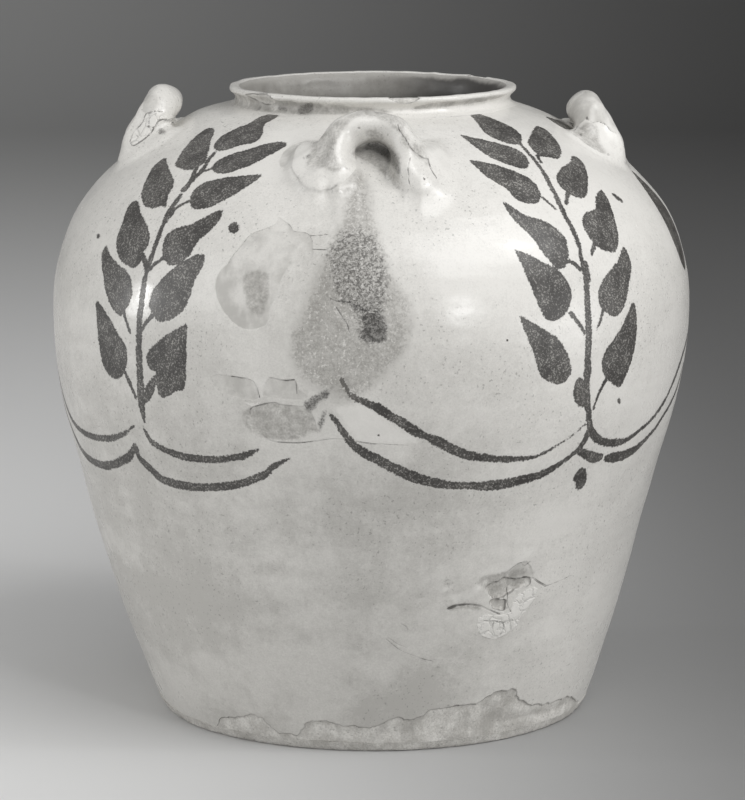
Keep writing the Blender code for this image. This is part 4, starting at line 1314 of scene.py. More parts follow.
def wall_height(outline, azimuth, length):
    """How far the thrown wall stands out from its plain line."""
    radius, level, _, _ = outline.at(length)
    points = place(azimuth, radius, level)
    uneven = sizes().unevenness
    height = uneven * ripple(points, 0.085, 1) + uneven * 0.35 * ripple(points, 0.028, 2)
    rings = np.sin(2 * math.pi * length / RING_SPACING + 2 * ripple(points, 0.16, 3))
    height += RING_HEIGHT * rings
    swelling = np.exp(-((np.degrees(azimuth) - SWELLING_AZIMUTH) / SWELLING_TURN) ** 2
                      - ((radius - SWELLING_RADIUS) / SWELLING_WIDTH) ** 2)
    height += SWELLING_RISE * swelling
    broken = 1 + 0.25 * ripple(points, 0.010, 4)
    fading = ease(level, SLAB_LEDGE, 2.2 * SLAB_LEDGE)
    for tables, depth in ((FLAKES, FLAKE_DEPTH * fading), (PITS, PIT_DEPTH)):
        marks = flaked_marks(outline, azimuth, level, tables, margin=3)
        height -= depth * broken * ease(-marks, -0.2, 0.5)
    marks = outline_marks(outline, azimuth, level, DULLED_AND_SHADED + GRIME_AND_SHADE, rounding=2, margin=3)
    height -= SPALL_DEPTH * broken * ease(-marks, -0.2, 0.5)
    for middle, up, spread, rise in BUMPS:
        across = radius * (azimuth - math.radians(middle)) / MM
        away = np.hypot(across, level / MM - up) / spread
        height += rise * MM * np.exp(-away ** 2)
    return height


def wall_points(outline, azimuth, length):
    """Points of the outer surface, and their outward directions."""
    def surface(azimuth, length):
        radius, level, out_r, out_z = outline.at(length)
        height = wall_height(outline, azimuth, length)
        return place(azimuth, radius + height * out_r, level + height * out_z)

    nudge = 0.0004
    turn = nudge / WIDE_RADIUS
    points = surface(azimuth, length)
    round_it = surface(azimuth + turn, length) - surface(azimuth - turn, length)
    top = outline.length[-1]
    low, high = np.maximum(length - nudge, 0), np.minimum(length + nudge, top)
    along = surface(azimuth, high) - surface(azimuth, low)
    return points, unit(np.cross(round_it, along))


def split_cells(split):
    """Faces over a grid that closes round, with its cells split 1, 2 or 4 ways each way.

    Also returns the rows and columns of the spots that they use, in quarter cells.
    """
    rows, columns = split.shape
    width = columns * FINEST
    cells = []
    for ways in (1, 2, FINEST):
        step = FINEST // ways
        row, column = np.nonzero(split == ways)
        for up in range(ways):
            for right in range(ways):
                low, left = row * FINEST + up * step, column * FINEST + right * step
                cells.append(np.stack([low, left, np.full(len(row), step)], 1))
    cells = np.vstack(cells)
    low, left, step = cells.T
    used = np.zeros((rows * FINEST + 1, width), bool)
    for up, right in ((0, 0), (0, 1), (1, 1), (1, 0)):
        used[low + up * step, (left + right * step) % width] = True
    number = np.where(used, np.cumsum(used).reshape(used.shape) - 1, -1).tolist()
    faces = []
    for low, left, step in cells.tolist():
        walk = [(low, left + k) for k in range(step)]
        walk += [(low + k, left + step) for k in range(step)]
        walk += [(low + step, left + step - k) for k in range(step)]
        walk += [(low + step - k, left) for k in range(step)]
        spots = [number[row][column % width] for row, column in walk]
        faces.append([spot for spot in spots if spot >= 0])
    row, column = np.nonzero(used)
    return faces, row, column, number


def edge_faces(edge, ring, outward):
    """Faces between an edge of the split grid and the even ring of vertices beside it."""
    faces = []
    count = len(ring)
    for k in range(count):
        spots = [edge[(k * FINEST + step) % len(edge)] for step in range(FINEST + 1)]
        spots = [spot for spot in spots if spot >= 0]
        after = ring[(k + 1) % count]
        face = spots + [after, ring[k]]
        faces.append(face if outward else face[::-1])
    return faces


def fill_corners(points, normals, loops):
    """The shoulder raised where the clay of the handles meets it."""
    for loop in loops:
        local = loop.turned(points, back=True)
        picked = np.flatnonzero(np.linalg.norm(local - LOOP_MIDDLE, axis=1) < LOOP_REACH)
        spots = local[picked]
        ways = loop.turned(normals[picked], back=True)
        clay = loop.clay(spots)
        close = clay < loop.fillet + loop.filled + RAISE_REACH
        picked, spots, ways, clay = picked[close], spots[close], ways[close], clay[close]
        width = loop.joint_width(spots)
        height = np.zeros(len(spots))
        for _ in range(RAISE_ROUNDS):
            reached = loop.clay(spots + height[:, None] * ways)
            height = height - RAISE_PACE * blend(height, reached, width)
            height = np.clip(height, 0, HIGHEST_RAISE)
        moved = spots + height[:, None] * ways
        reached = loop.clay(moved)
        raised = height > LEAST_RAISE
        new_normals = field_normals(moved, loop.whole)
        height = height - np.clip((height - reached) * UNDER_SHARE, 0, UNDER)
        height = np.where(clay < -TUCK, -TUCK, height)
        points[picked] += loop.turned(height[:, None] * ways)
        normals[picked[raised]] = loop.turned(new_normals[raised])


def make_wall(name, node, outline, lengths, inner):
    """A closed wall: a finely split outer surface going up, and inner rings going down."""
    count = len(lengths)
    grid_azimuth = np.tile(all_round(), count)
    grid_level = np.repeat(outline.at(lengths)[1], COLUMNS)
    marks = wall_marks(outline, grid_azimuth, grid_level)
    fine = np.minimum.reduce([
        np.abs(marks["brushwork"]), np.abs(marks["flaked"]),
        np.abs(marks["paled"]) + PALED_SLACK])
    stems = line_marks(outline, front_half(grid_azimuth), grid_level, THIN_STEMS)
    finest = np.minimum(np.abs(marks["cracked"]), np.abs(stems))

    def corners(values):
        values = values.reshape(count, COLUMNS)
        values = np.minimum(values[:-1], values[1:])
        return np.minimum(values, np.roll(values, -1, 1))

    split = np.where(corners(fine) < EDGE_SPLIT, 2, 1)
    split = np.where(corners(finest) < THIN_SPLIT, FINEST, split)
    faces, row, column, number = split_cells(split)
    length = np.interp(row / FINEST, np.arange(count), lengths)
    around = -math.pi + 2 * math.pi * column / (COLUMNS * FINEST)
    points, normals = wall_points(outline, around, length)
    marks = wall_marks(outline, around, outline.at(length)[1])
    fill_corners(points, normals, [Loop(loop, outline) for loop in LOOP_NAMES])

    index = len(points) + np.arange(len(inner) * COLUMNS).reshape(-1, COLUMNS)
    faces += edge_faces(number[-1], index[0], True)
    faces += ring_faces(index)
    faces += edge_faces(number[0], index[-1], False)
    points = np.vstack([points, inner.reshape(-1, 3)])
    inner_normals = -ring_normals(inner[::-1])[::-1]
    normals = np.vstack([normals, inner_normals.reshape(-1, 3)])
    hidden = plain_marks(index.size)
    # The insides of the walls get the full painted shade of the deep neck
    hidden["inner"][:] = -FAR
    marks = {mark: np.concatenate([marks[mark], hidden[mark]]) for mark in MARKS}
    mesh = solid(name, lean(points), faces, normals, marks)
    dress(name, mesh, node, glaze_material())


def inner_rings(outline, low, high):
    """Rings of the inside of the wall, from the top down."""
    lengths = np.linspace(outline.along(high), outline.along(low),
                          round((outline.along(high) - outline.along(low)) / INSIDE_ROW))
    radius, level, out_r, out_z = outline.at(lengths)
    depth = np.interp(level, [0, outline.seam, outline.neck_level],
                      [FOOT_WALL, LOWER_WALL, UPPER_WALL])
    inner, inner_level = radius - depth * out_r, level - depth * out_z
    return place(all_round(), inner[:, None], inner_level[:, None])


def even_lengths(start, end, step):
    return np.linspace(start, end, round((end - start) / step) + 1)


def ring_profile(profile):
    """Rings all round the jar, each at a radius and a level."""
    radius, level = np.array(profile).T
    return place(all_round(), radius[:, None], level[:, None])


def make_walls(outline):
    """The lower wall on the slab, and the upper wall that carries the shoulder."""
    levels = (SLAB_LEDGE, FOOT_ROW_TOP, outline.seam)
    ledge, fine, seam = (outline.along(level) for level in levels)
    lengths = np.concatenate([even_lengths(ledge, fine, FOOT_ROW)[:-1],
                              even_lengths(fine, seam, WALL_ROW)])
    grip = sizes().foot_radius - FOOT_WALL
    foot = ring_profile([(grip, SLAB_THICKNESS), (grip, SLAB_LEDGE)])
    inner = inner_rings(outline, SLAB_THICKNESS + FOOT_WALL, outline.seam)
    make_wall("lower_wall_glazed", "lower_wall", outline, lengths,
              lean(np.vstack([inner, foot])))
    lengths = even_lengths(seam, outline.length[-1], SHOULDER_ROW)
    inner = inner_rings(outline, outline.seam, outline.neck_level)
    make_wall("upper_wall_glazed", "upper_wall", outline, lengths, lean(inner))


# How far the slab's edge is worn away

EDGE_WEAR = 0.0006


def make_base(outline):
    """The slab under the lower wall."""
    foot = sizes().foot_radius
    grip = foot - FOOT_WALL
    side = float(outline.radius(SLAB_LEDGE))
    profile = [(0.001, 0), (0.04, 0), (0.08, 0), (foot - 0.006, 0), (foot - FOOT_CHAMFER, 0),
               (foot - 0.0006, 0.0006), (foot + 0.0002, 0.0020),
               ((foot + side) / 2 + 0.0003, 0.0038), (side, SLAB_LEDGE),
               (grip + 0.001, SLAB_LEDGE), (grip, SLAB_LEDGE + 0.0002), (grip, SLAB_THICKNESS),
               (0.08, SLAB_THICKNESS), (0.04, SLAB_THICKNESS), (0.001, SLAB_THICKNESS)]
    rings = ring_profile(profile)
    edge = slice(5, 8)
    worn = EDGE_WEAR * np.abs(ripple(rings[edge].reshape(-1, 3), 0.012, 21)).reshape(3, -1)
    rings[edge, :, :2] *= (1 - worn / foot)[..., None]
    mesh = skin("base_slab_worn", lean(rings))
    mesh.set_sharp_from_angle(angle=math.radians(40))
    dress("base_slab_worn", mesh, "base_slab", clay_material())


# Worn places and painted shade on the neck

NECK_CHIPS = outlines(
    (-60.9, 337.5, -50.2, 339.6, -45.5, 339.2, -42.7, 336.2, -43.1, 334.9, -48.1, 333.5,
     -52.5, 334.4),
    (6.5, 340.6, 11.2, 341.5, 16, 341.1, 18.9, 339.5, 14.7, 336.7, 10.6, 337.1, 7.9, 338.6),
    (122, 340.5, 131, 341, 134, 338.5, 126, 337),
)
NECK_SOOT = outlines(
    (-31.1, 333.4, -28, 335.3, -24.3, 336.3, -24.6, 333.2, -25.6, 330.6, -30.7, 330.2),
    (-47.6, 338.4, -44, 338.2, -42.7, 336.2, -43.6, 335.2, -47.5, 335),
    (-41.4, 333.6, -37.6, 332.6, -37, 331.4, -40.6, 331.4),
    (-53.8, 331.9, -52.6, 332.1, -52.3, 330.9, -53.6, 330.8),
)
# The first outline is painted shade on the neck's left and front, away from the light at the
# right; the grimed and the dulled marks both carry it.
NECK_SHADE_AND_GRIME = outlines(
    (-80, 335.6, -60, 336.4, -40, 336.4, -20, 335.8, -4, 334.8, 8, 332, -10, 330.4, -40, 330.2,
     -80, 330.4),
    (17.4, 334.5, 23.2, 335.8, 29.2, 336.3, 37.3, 337, 46.5, 337.6, 65.8, 337.4, 65, 335.6,
     46.5, 334.6, 29, 333.6, 18, 333),
)

# The neck's section, as radius and level in mm, and its uneven, chipped lip: how far it wanders
# over long and short waves, the levels between which that grows, the radius that parts its
# outside from its inside, the depth of a chip, and how much wider it is at the right

NECK_PROFILE = (
    (77.6, 329.15), (76.4, 329.9), (75.3, 330.5), (74.5, 331.3), (74, 332.3), (73.8, 333.4),
    (74.2, 334.6), (75.1, 335.7), (76.1, 336.5), (76.9, 337.3), (77.1, 338.2), (76.8, 339.1),
    (75.9, 339.7), (74.6, 339.95), (73.2, 339.8), (71.8, 339.3), (70.5, 338.4), (69.4, 337.1),
    (68.6, 335.5), (68.1, 333.6), (67.8, 331.4), (67.6, 329.6), (67.5, 327.5), (67.7, 325.5),
    (68.6, 323.6), (70.5, 322.6), (72, 323.5),
)
NECK_WANDER = 0.00025
NECK_RIPPLE = 0.0001
WANDER_START = 0.3305
WANDER_FULL = 0.334
LIP_RADIUS = 0.0722
CHIP_DEPTH = 0.0007
NECK_WIDENING = 0.010
NECK_LINE_RADIUS = 0.076


class NeckLine:
    """The neck's outer line, taken as upright."""

    def radius(self, level):
        return NECK_LINE_RADIUS + 0 * level

    def along(self, level):
        return level


def make_neck():
    """The low neck with its rolled, chipped lip."""
    profile = through(np.array(NECK_PROFILE[:-1]) * MM, 3)
    profile = np.vstack([profile, np.array(NECK_PROFILE[-1:]) * MM])
    rings = ring_profile(profile)
    flat = rings.reshape(-1, 3)
    normals = -ring_normals(rings[::-1])[::-1]
    height = NECK_WANDER * ripple(flat, 0.030, 31) + NECK_RIPPLE * ripple(flat, 0.010, 32)
    share = ease(flat[:, 2], WANDER_START, WANDER_FULL)
    outside = np.hypot(flat[:, 0], flat[:, 1]) > LIP_RADIUS
    line = NeckLine()
    around = azimuths(flat)
    chips, grime_and_shade, soot_and_shadow = (outline_marks(line, around, flat[:, 2], table, rounding=2)
                          for table in (NECK_CHIPS, NECK_SHADE_AND_GRIME, NECK_SOOT))
    marks = {"flaked": np.where(outside, chips, FAR),
             "grimed_and_shaded": np.where(outside, np.minimum(grime_and_shade, chips), FAR),
             "dulled_and_shaded": np.where(outside, np.minimum(grime_and_shade, chips), FAR),
             "soot_and_shadow": np.where(outside, soot_and_shadow, FAR),
             "inner": np.where(outside, FAR, flat[:, 2] / MM - sizes().height / MM)}
    height = np.abs(height) + CHIP_DEPTH * ease(-marks["flaked"], -0.4, 0.8)
    rings = rings - (height * share).reshape(rings.shape[:2])[..., None] * normals
    rings[..., :2] *= 1 + NECK_WIDENING * np.maximum(np.sin(all_round()), 0)[None, :, None]
    mesh = skin("neck_glazed", lean(rings), ring_normals(rings), closed=True, marks=marks)
    dress("neck_glazed", mesh, "neck_ring", glaze_material())


# Materials

class Signal:
    """A socket of a material, with arithmetic that adds Math nodes."""

    def __init__(self, tree, socket=None):
        self.tree = tree
        self.socket = socket

    def node(self, kind, settings=None, inputs=None, output=0):
        """A node of a kind, with its settings made first and its sockets filled after."""
        made = self.tree.nodes.new(kind)
        for name, value in (settings or {}).items():
            setattr(made, name, value)
        for key, value in (inputs or {}).items():
            if isinstance(value, Signal):
                self.tree.links.new(value.socket, made.inputs[key])
            else:
                made.inputs[key].default_value = value
        return Signal(self.tree, made.outputs[output])

    def math(self, operation, *values, clamp=False):
        inputs = dict(enumerate(values))
        return self.node("ShaderNodeMath", {"operation": operation, "use_clamp": clamp}, inputs)

    def __add__(self, other):
        return self.math("ADD", self, other)

    __radd__ = __add__

    def __mul__(self, other):
        return self.math("MULTIPLY", self, other)

    __rmul__ = __mul__

    def __sub__(self, other):
        return self.math("SUBTRACT", self, other)

    def __rsub__(self, other):
        return self.math("SUBTRACT", other, self)

    def clamped(self):
        return self.math("ADD", self, 0.0, clamp=True)

    def between(self, low, high):
        """Smoothly from 0 at low to 1 at high, or from 1 to 0 where low is above high."""
        settings = {"interpolation_type": "SMOOTHSTEP", "clamp": True}
        inputs = {"Value": self, "From Min": min(low, high), "From Max": max(low, high)}
        if low > high:
            inputs.update({"To Min": 1.0, "To Max": 0.0})
        return self.node("ShaderNodeMapRange", settings, inputs)

    def mix(self, first, second):
        """A colour between two colours, by this factor."""
        settings = {"data_type": "RGBA", "blend_type": "MIX"}
        return self.node("ShaderNodeMix", settings, {0: self, 6: first, 7: second}, output=2)

    def attribute(self, name):
        return self.node("ShaderNodeAttribute", {"attribute_name": name}, output=2)

    def position(self):
        return self.node("ShaderNodeTexCoord", output=3)

    def axis(self, number):
        """How far a place is to the right, to the back or up, as 0, 1 or 2."""
        return self.node("ShaderNodeSeparateXYZ", inputs={0: self.position()}, output=number)

    def noise(self, size, detail=2.0, roughness=0.5, stretch=None):
        """Noise from 0 to 1 whose lumps are about a size in metres across."""
        spot = self.position()
        if stretch:
            spot = self.node("ShaderNodeVectorMath", {"operation": "MULTIPLY"},
                             {0: spot, 1: stretch})
        inputs = {"Vector": spot, "Scale": 1 / size, "Detail": detail, "Roughness": roughness}
        return self.node("ShaderNodeTexNoise", inputs=inputs)

    def cells(self, size, feature="F1", output=0, warp=None):
        """Distance to the middle or edge of cells about a size across, or their colour."""
        spot = self.position()
        if warp:
            shift = self.node("ShaderNodeVectorMath", {"operation": "SCALE"},
                              {0: (size, size, size), 3: warp})
            spot = self.node("ShaderNodeVectorMath", {"operation": "ADD"}, {0: spot, 1: shift})
        inputs = {"Vector": spot, "Scale": 1 / size}
        return self.node("ShaderNodeTexVoronoi", {"feature": feature}, inputs, output)


def new_material(name):
    """A material with its own Principled shader, and a signal to build on."""
    old = bpy.data.materials.get(name)
    if old:
        bpy.data.materials.remove(old)
    material = bpy.data.materials.new(name)
    material.use_nodes = True
    tree = material.node_tree
    tree.nodes.clear()
    output = tree.nodes.new("ShaderNodeOutputMaterial")
    shader = tree.nodes.new("ShaderNodeBsdfPrincipled")
    tree.links.new(shader.outputs[0], output.inputs[0])
    return material, shader, Signal(tree)


def connect(shader, name, signal):
    signal.tree.links.new(signal.socket, shader.inputs[name])


def bump(signal, height, distance):
    """A Bump node's normal from a height of 0 to 1 that stands for a distance in metres."""
    return signal.node("ShaderNodeBump", inputs={"Height": height, "Distance": distance})


def bare_clay(look, mottle, grain, speck):
    """Colour of sandy clay, with paler patches and dark grains."""
    sand = (grain * 0.40 + mottle * 0.60).between(0.34, 0.70)
    return (speck.between(0.64, 0.72) * 0.30).mix(sand.mix(look.clay, look.glaze), look.grime_and_shade)


class Glaze:
    """Layers of the glaze. Each takes the colour under it and keeps the masks of its places."""

    def __init__(self, plain, look):
        self.plain = plain
        self.look = look
        self.mark = plain.attribute
        self.cloud = plain.noise(0.075, detail=3, roughness=0.55)
        self.bands = plain.noise(0.110, detail=3, roughness=0.6, stretch=(0.7, 0.7, 2.6))
        self.haze = plain.noise(0.016, detail=4, roughness=0.65)
        self.streak = plain.noise(0.013, detail=3, roughness=0.6, stretch=(1, 1, 0.35))
        self.mottle = plain.noise(0.009, detail=3, roughness=0.6)
        self.flow = plain.noise(0.004, detail=2, roughness=0.6)
        self.speck = plain.noise(0.0015, detail=1)
        self.grain = plain.noise(0.0011, detail=1.5, roughness=0.6)
        self.fine = plain.noise(0.0006, detail=1)
        self.east = plain.axis(0)
        self.level = plain.axis(2)

    def unmarked(self):
        """Darker down the wall and at the foot, with clouds, bands, grain and small dark specks;
        towards the right the lower wall is kept lighter as painted light.
        """
        self.low = self.level.between(0.28, 0.14)
        foot = self.level.between(0.12, 0.05)
        # Painted light: the darkening down the wall fades towards the lamps at the right
        side = self.east.between(0.02, 0.11)
        clouds = (self.cloud * 0.36 + self.bands * 0.40 + self.haze * 0.24).between(0.41, 0.60)
        worn = self.mark("stain").between(28.0, 3.0) * self.east.between(0.0, -0.02)
        darkening = (self.low * (0.32 - side * 0.34) + foot * (0.20 - side * 0.26)
                + clouds * (0.24 + self.low * (0.42 - side * 0.36))
                + worn * (0.20 + clouds * 0.30) + (self.flow - 0.5) * 0.30
                + (self.mottle - 0.5) * 0.24 + (self.grain - 0.5) * 0.70
                + (self.fine - 0.5) * 0.45)
        glaze = darkening.clamped().mix(self.look.glaze, self.look.worn_glaze)
        dust = self.speck.between(0.64, 0.74) * clouds.between(0.1, 0.8)
        return (dust * 0.36).mix(glaze, self.look.grime_and_shade)

    def shaded_mouth(self, colour):
        """Painted shade inside the neck, darker deeper down and towards the right."""
        depth = self.mark("inner")
        self.inner = depth.between(0.1, -0.1)
        deep = (depth + (self.mottle - 0.5) * 6).between(-0.6, -4.0)
        share = self.inner * (0.42 + self.mottle * 0.42 + deep * 0.16)
        colour = share.mix(colour, self.look.stain)
        share = self.inner * deep * self.east.between(0.0, 0.045) * 0.92
        return share.mix(colour, self.look.pigment)

    def spalls(self, colour):
        """Thin spalls leave a duller skin and rubbed places a paler one. Some of the duller places
        are painted shade and some of the paler ones painted highlights.
        """
        thin = self.mark("dulled_and_shaded") + (self.flow - 0.5) * 1.6
        self.spalled_and_shaded = thin.between(0.3, -0.3)
        skin = (self.haze * 0.5 + self.streak * 0.5).between(0.40, 0.62)
        colour = (self.spalled_and_shaded * (0.18 + skin * 0.85)).mix(colour, self.look.worn_glaze)
        self.wiped_and_lit = (self.mark("cleaned_and_lit") + (self.flow - 0.5) * 3.0).between(1.2, -2.2)
        return (self.wiped_and_lit * 0.60).mix(colour, self.look.slip)

    def brushwork(self, colour):
        """A ragged edge, a darker outline, and pale specks that thin out in dark pools."""
        ragged = self.mark("brushwork") + (self.grain - 0.5) * 2.2 + (self.flow - 0.5) * 1.8
        self.painted = ragged.between(0.32, -0.32)
        pool = (self.mottle * 0.45 + self.haze * 0.55).between(0.40, 0.62)
        self.specks = (self.grain * 0.58 + self.fine * 0.42 - pool * 0.035).between(0.50, 0.60)
        thinned = (1.0 - pool) * 0.14
        body = thinned.mix(self.look.pigment, self.look.pigment_speck)
        edge = ragged.between(-1.5, -0.3)
        share = self.specks * (1.0 - pool * 0.45) * (1.0 - edge * 0.55)
        body = share.mix(body, self.look.pigment_speck)
        return self.painted.mix(colour, body)

    def stains(self, colour):
        """Under the front handle: a speckled haze and a darker middle; elsewhere sooty places and
        painted shadow in hollows and dents, in one dark colour.
        """
        coarse = self.plain.noise(0.0026, detail=3, roughness=0.7)
        pepper = (self.grain * 0.42 + self.fine * 0.26 + coarse * 0.32).between(0.60, 0.40)
        soft = (self.mark("stain") + (self.haze - 0.5) * 8 + (coarse - 0.5) * 5
                + (self.grain - 0.5) * 5)
        stained = soft.between(2.6, -5.5)
        middle = self.mark("stain_core") + (self.haze - 0.5) * 14 + (coarse - 0.5) * 12
        core = middle.between(3.0, -5.0)
        self.tint = (stained * (0.30 + pepper * 0.36 + (self.mottle - 0.5) * 0.4)).clamped()
        colour = self.tint.mix(colour, self.look.stain)
        colour = (core * (0.10 + pepper * 0.62)).mix(colour, self.look.pigment)
        colour = (stained * self.speck.between(0.60, 0.70) * 0.50).mix(colour, self.look.slip)
        dark_edge = self.mark("soot_and_shadow") + (self.flow - 0.5) * 3.4 + (self.grain - 0.5) * 2.4
        darkened = dark_edge.between(0.9, -1.1)
        return (darkened * (0.52 + pepper * 0.36)).mix(colour, self.look.pigment)

    def scuffs(self, colour):
        """Grime and painted shade, and scuffed pale places."""
        self.dirty_and_shaded = (self.mark("grimed_and_shaded") + (self.mottle - 0.5) * 5).between(1.2, -1.4)
        streaky_share = (0.42 + (self.streak - 0.5) * 0.6 + (self.flow - 0.5) * 0.7
                 + (self.grain - 0.5) * 0.6)
        colour = (self.dirty_and_shaded * streaky_share).mix(colour, self.look.stain)
        self.pale = (self.mark("paled") + (self.flow - 0.5) * 2.4).between(0.4, -0.4)
        self.chips = self.plain.cells(0.0075, "DISTANCE_TO_EDGE", warp=self.flow)
        crazed = self.pale * self.chips.between(0.05, 0.01) * self.haze.between(0.42, 0.56)
        colour = (self.pale * (0.45 + self.mottle * 0.5)).mix(colour, self.look.slip)
        return (crazed * 0.30).mix(colour, self.look.grime_and_shade)

    def flakes(self, colour):
        """Flaked places show the clay, with an uneven dark line where the glaze ends."""
        broken = self.mark("flaked") + (self.flow - 0.5) * 0.8 + (self.grain - 0.5) * 0.5
        self.bare = broken.between(0.2, -0.2)
        rim = broken.between(0.55, 0.10) * broken.between(-0.45, -0.05)
        clay = bare_clay(self.look, self.mottle, self.grain, self.speck)
        clay = (self.streak.between(0.46, 0.62) * 0.30).mix(clay, self.look.stain)
        colour = self.bare.mix(colour, clay)
        share = rim * (0.08 + self.haze.between(0.40, 0.60) * 0.56)
        return share.mix(colour, self.look.grime_and_shade)

    def cracks(self, colour):
        """Cracks and pinholes."""
        crack = (self.mark("cracked") + (self.grain - 0.5) * 0.5).between(0.32, -0.12)
        self.crack = crack * (0.22 + self.haze.between(0.42, 0.60) * 0.52)
        colour = self.crack.mix(colour, self.look.grime_and_shade)
        cell = self.plain.cells(0.021)
        tone = self.plain.cells(0.021, output=1)
        chance = self.plain.node("ShaderNodeSeparateColor", inputs={0: tone})
        self.pinhole = cell.between(0.034, 0.016) * chance.between(0.30, 0.29)
        return (self.pinhole * 0.9).mix(colour, self.look.grime_and_shade)

    def roughness(self):
        return (self.look.gloss + self.painted * 0.12 + self.tint * 0.16 + self.bare * 0.5
                + self.spalled_and_shaded * 0.12 + self.dirty_and_shaded * 0.2 + self.pale * 0.22
                + (self.mottle - 0.5) * 0.22 + self.low * 0.08 + self.inner * 0.15
                - self.wiped_and_lit * 0.05)

    def height(self):
        """Height of the surface, from 0 to 1."""
        return (self.flow * 0.14 + self.mottle * 0.10 + self.cloud * 0.6
                + self.painted * (self.specks * 0.10 - 0.12) - self.tint * self.fine * 0.10
                - self.spalled_and_shaded * 0.2 - self.bare * 0.5 + self.bare * self.grain * 0.35
                + self.pale * self.chips.between(0.0, 0.16) * 0.4
                - self.crack * 1.2 - self.pinhole * 1.0)


def glaze_material():
    """Glossy off-white glaze over brushwork, with stains, flaked places, painted shade and painted
    highlights.
    """
    found = bpy.data.materials.get("glaze_over_brushwork")
    if found:
        return found
    material, shader, plain = new_material("glaze_over_brushwork")
    glaze = Glaze(plain, looks())
    colour = glaze.unmarked()
    for layer in (glaze.shaded_mouth, glaze.spalls, glaze.brushwork, glaze.stains, glaze.scuffs,
                  glaze.flakes, glaze.cracks):
        colour = layer(colour)
    connect(shader, "Base Color", colour)
    connect(shader, "Roughness", glaze.roughness())
    connect(shader, "Normal", bump(plain, glaze.height(), 0.0005))
    shader.inputs["IOR"].default_value = 1.5
    return material


def clay_material():
    """Bare, sandy clay of the slab's underside and edge."""
    found = bpy.data.materials.get("bare_sandy_clay")
    if found:
        return found
    material, shader, plain = new_material("bare_sandy_clay")
    look = looks()
    mottle = plain.noise(0.009, detail=3, roughness=0.6)
    sand = plain.noise(0.0011, detail=1.5, roughness=0.6)
    colour = bare_clay(look, mottle, sand, plain.noise(0.0015, detail=1))
    connect(shader, "Base Color", colour)
    shader.inputs["Roughness"].default_value = 0.85
    connect(shader, "Normal", bump(plain, sand, 0.0003))
    return material


# Stage

# The paper sweep: how far it reaches to the sides and the front, where its level part ends, the
# radius of its turn and its top. Then the point that the lamps face, and the camera's lens: its
# focal length and sideways shift in pixels of a picture of that height.

SWEEP_REACH = 9.0
SWEEP_BACK = 2.9
SWEEP_TURN = 0.9
SWEEP_TOP = 4.0
LAMP_AIM = np.array([0, 0, 0.2])
FOCAL_PIXELS = 3746.69
SHIFT_PIXELS = 0.5
PICTURE_HEIGHT = 800
SENSOR_HEIGHT = 36


def paper_material(stage):
    """Pale paper that darkens up the backdrop and to the right, as painted shade where the light
    falls off.
    """
    material, shader, plain = new_material("paper")
    back = plain.axis(1)
    right = plain.axis(0)
    backdrop = right.between(-0.9, 0.8).mix(stage.backdrop, stage.shade)
    floor_colour = right.between(-0.30, 0.32).mix(stage.floor, stage.dim_floor)
    colour = (back - right * 0.1).between(0.30, 3.3).mix(floor_colour, backdrop)
    connect(shader, "Base Color", colour)
    shader.inputs["Roughness"].default_value = 0.9
    shader.inputs["Specular IOR Level"].default_value = 0.1
    return material


def make_paper(stage):
    """The floor and backdrop, as one sweep of paper."""
    angles = np.linspace(-math.pi / 2, 0, 13)
    profile = [(-SWEEP_REACH, 0.0), (-1.0, 0.0), (0.4, 0.0)]
    profile += [(SWEEP_BACK + SWEEP_TURN * math.cos(a), SWEEP_TURN + SWEEP_TURN * math.sin(a))
                for a in angles]
    profile += [(SWEEP_BACK + SWEEP_TURN, SWEEP_TOP)]
    points = [(x, y, z) for y, z in profile for x in (-SWEEP_REACH, SWEEP_REACH)]
    faces = [(i, i + 1, i + 3, i + 2) for i in range(0, len(points) - 2, 2)]
    mesh = bpy.data.meshes.new("paper_sweep")
    mesh.from_pydata(points, [], faces)
    mesh.shade_smooth()
    floor = bpy.data.objects.new("paper_sweep", mesh)
    bpy.context.scene.collection.objects.link(floor)
    mesh.materials.append(paper_material(stage))


def make_lamps(stage):
    """The lamps and the even light of the room."""
    lamp("key_lamp", stage.key, 1.6, 1.2, azimuth=46, rise=46, distance=1.9)
    lamp("low_lamp", stage.low, 0.9, 0.5, azimuth=70, rise=1, distance=1.9)
    lamp("glint_lamp", stage.glint, 0.18, 0.12, azimuth=65, rise=40, distance=1.8)
    lamp("window_lamp", stage.window, 0.20, 0.20, azimuth=31, rise=12, distance=1.7)
    lamp("side_lamp", stage.side, 0.13, 0.32, azimuth=-87, rise=6.5, distance=1.8)
    lamp("fill_lamp", stage.fill, 1.2, 1.0, azimuth=-67, rise=18, distance=1.9)
    world = bpy.data.worlds.new("room")
    bpy.context.scene.world = world
    world.use_nodes = True
    sky = world.node_tree.nodes["Background"]
    sky.inputs["Color"].default_value = (1, 1, 1, 1)
    sky.inputs["Strength"].default_value = stage.ambient


def make_camera():
    """The camera that looks from straight in front."""
    lens = bpy.data.cameras.new("photo_camera")
    camera = bpy.data.objects.new("photo_camera", lens)
    bpy.context.scene.collection.objects.link(camera)
    camera.location = VIEW_PLACE
    camera.rotation_euler = (math.pi / 2 - VIEW_TILT, 0, 0)
    lens.sensor_fit = "VERTICAL"
    lens.sensor_height = SENSOR_HEIGHT
    lens.lens = FOCAL_PIXELS / PICTURE_HEIGHT * SENSOR_HEIGHT
    lens.shift_x = SHIFT_PIXELS / PICTURE_HEIGHT
    lens.clip_start = 0.1
    bpy.context.scene.camera = camera


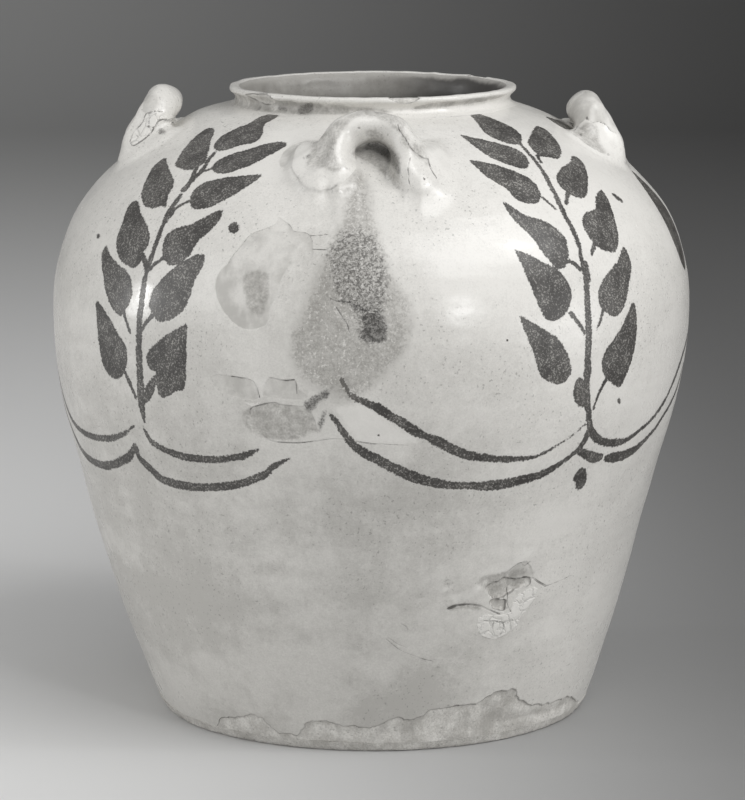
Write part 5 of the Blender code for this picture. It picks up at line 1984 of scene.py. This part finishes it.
def lamp(name, power, width, height, azimuth, rise, distance):
    """A soft lamp that faces the jar's middle from an azimuth and a rise in degrees."""
    data = bpy.data.lights.new(name, "AREA")
    data.shape = "RECTANGLE"
    data.size = width
    data.size_y = height
    data.energy = power
    light = bpy.data.objects.new(name, data)
    bpy.context.scene.collection.objects.link(light)
    turn, up = math.radians(azimuth), math.radians(rise)
    away = np.array([math.sin(turn) * math.cos(up), -math.cos(turn) * math.cos(up), math.sin(up)])
    light.location = LAMP_AIM + distance * away
    light.rotation_euler = (math.pi / 2 - up, 0, turn)


# Operators

class JAR_OT_base(bpy.types.Operator):
    """Make the worn base slab"""

    bl_idname = "jar.base"
    bl_label = "Base Slab"

    def execute(self, context):
        make_base(Outline())
        return {"FINISHED"}


class JAR_OT_walls(bpy.types.Operator):
    """Make the lower wall with its flaked foot and the upper wall with its painted shoulder"""

    bl_idname = "jar.walls"
    bl_label = "Walls"

    def execute(self, context):
        make_walls(Outline())
        return {"FINISHED"}


class JAR_OT_neck(bpy.types.Operator):
    """Make the neck and its lip"""

    bl_idname = "jar.neck"
    bl_label = "Neck"

    def execute(self, context):
        make_neck()
        return {"FINISHED"}


class JAR_OT_loops(bpy.types.Operator):
    """Make the four loop handles and the clay pressed beside their feet"""

    bl_idname = "jar.loops"
    bl_label = "Loop Handles"

    def execute(self, context):
        outline = Outline()
        for name in LOOP_NAMES:
            make_loop(name, outline)
        return {"FINISHED"}


class JAR_OT_stage(bpy.types.Operator):
    """Set up the floor, the lamps and the camera"""

    bl_idname = "jar.stage"
    bl_label = "Stage"

    def execute(self, context):
        stage = context.scene.jar_stage
        context.scene.view_settings.view_transform = "Standard"
        make_paper(stage)
        make_lamps(stage)
        make_camera()
        return {"FINISHED"}


class JAR_PT_panel(bpy.types.Panel):
    """Steps and settings of the jar"""

    bl_idname = "JAR_PT_panel"
    bl_label = "Storage Jar"
    bl_space_type = "VIEW_3D"
    bl_region_type = "UI"
    bl_category = "Jar"

    def draw(self, context):
        layout = self.layout
        for step in STEPS:
            layout.operator(step.bl_idname)
        scene = context.scene
        for group in (scene.jar_sizes, scene.jar_looks, scene.jar_stage):
            box = layout.box()
            for name in group.__annotations__:
                box.prop(group, name)


STEPS = (JAR_OT_stage, JAR_OT_base, JAR_OT_walls, JAR_OT_neck, JAR_OT_loops)
CLASSES = (JarSizes, JarLooks, StageLooks, *STEPS, JAR_PT_panel)


def register():
    for kind in CLASSES:
        bpy.utils.register_class(kind)
    bpy.types.Scene.jar_sizes = bpy.props.PointerProperty(type=JarSizes)
    bpy.types.Scene.jar_looks = bpy.props.PointerProperty(type=JarLooks)
    bpy.types.Scene.jar_stage = bpy.props.PointerProperty(type=StageLooks)


def unregister():
    del bpy.types.Scene.jar_stage
    del bpy.types.Scene.jar_looks
    del bpy.types.Scene.jar_sizes
    for kind in reversed(CLASSES):
        bpy.utils.unregister_class(kind)


def main():
    register()
    bpy.ops.jar.stage()
    bpy.ops.jar.base()
    bpy.ops.jar.walls()
    bpy.ops.jar.neck()
    bpy.ops.jar.loops()


if __name__ == "__main__":
    main()
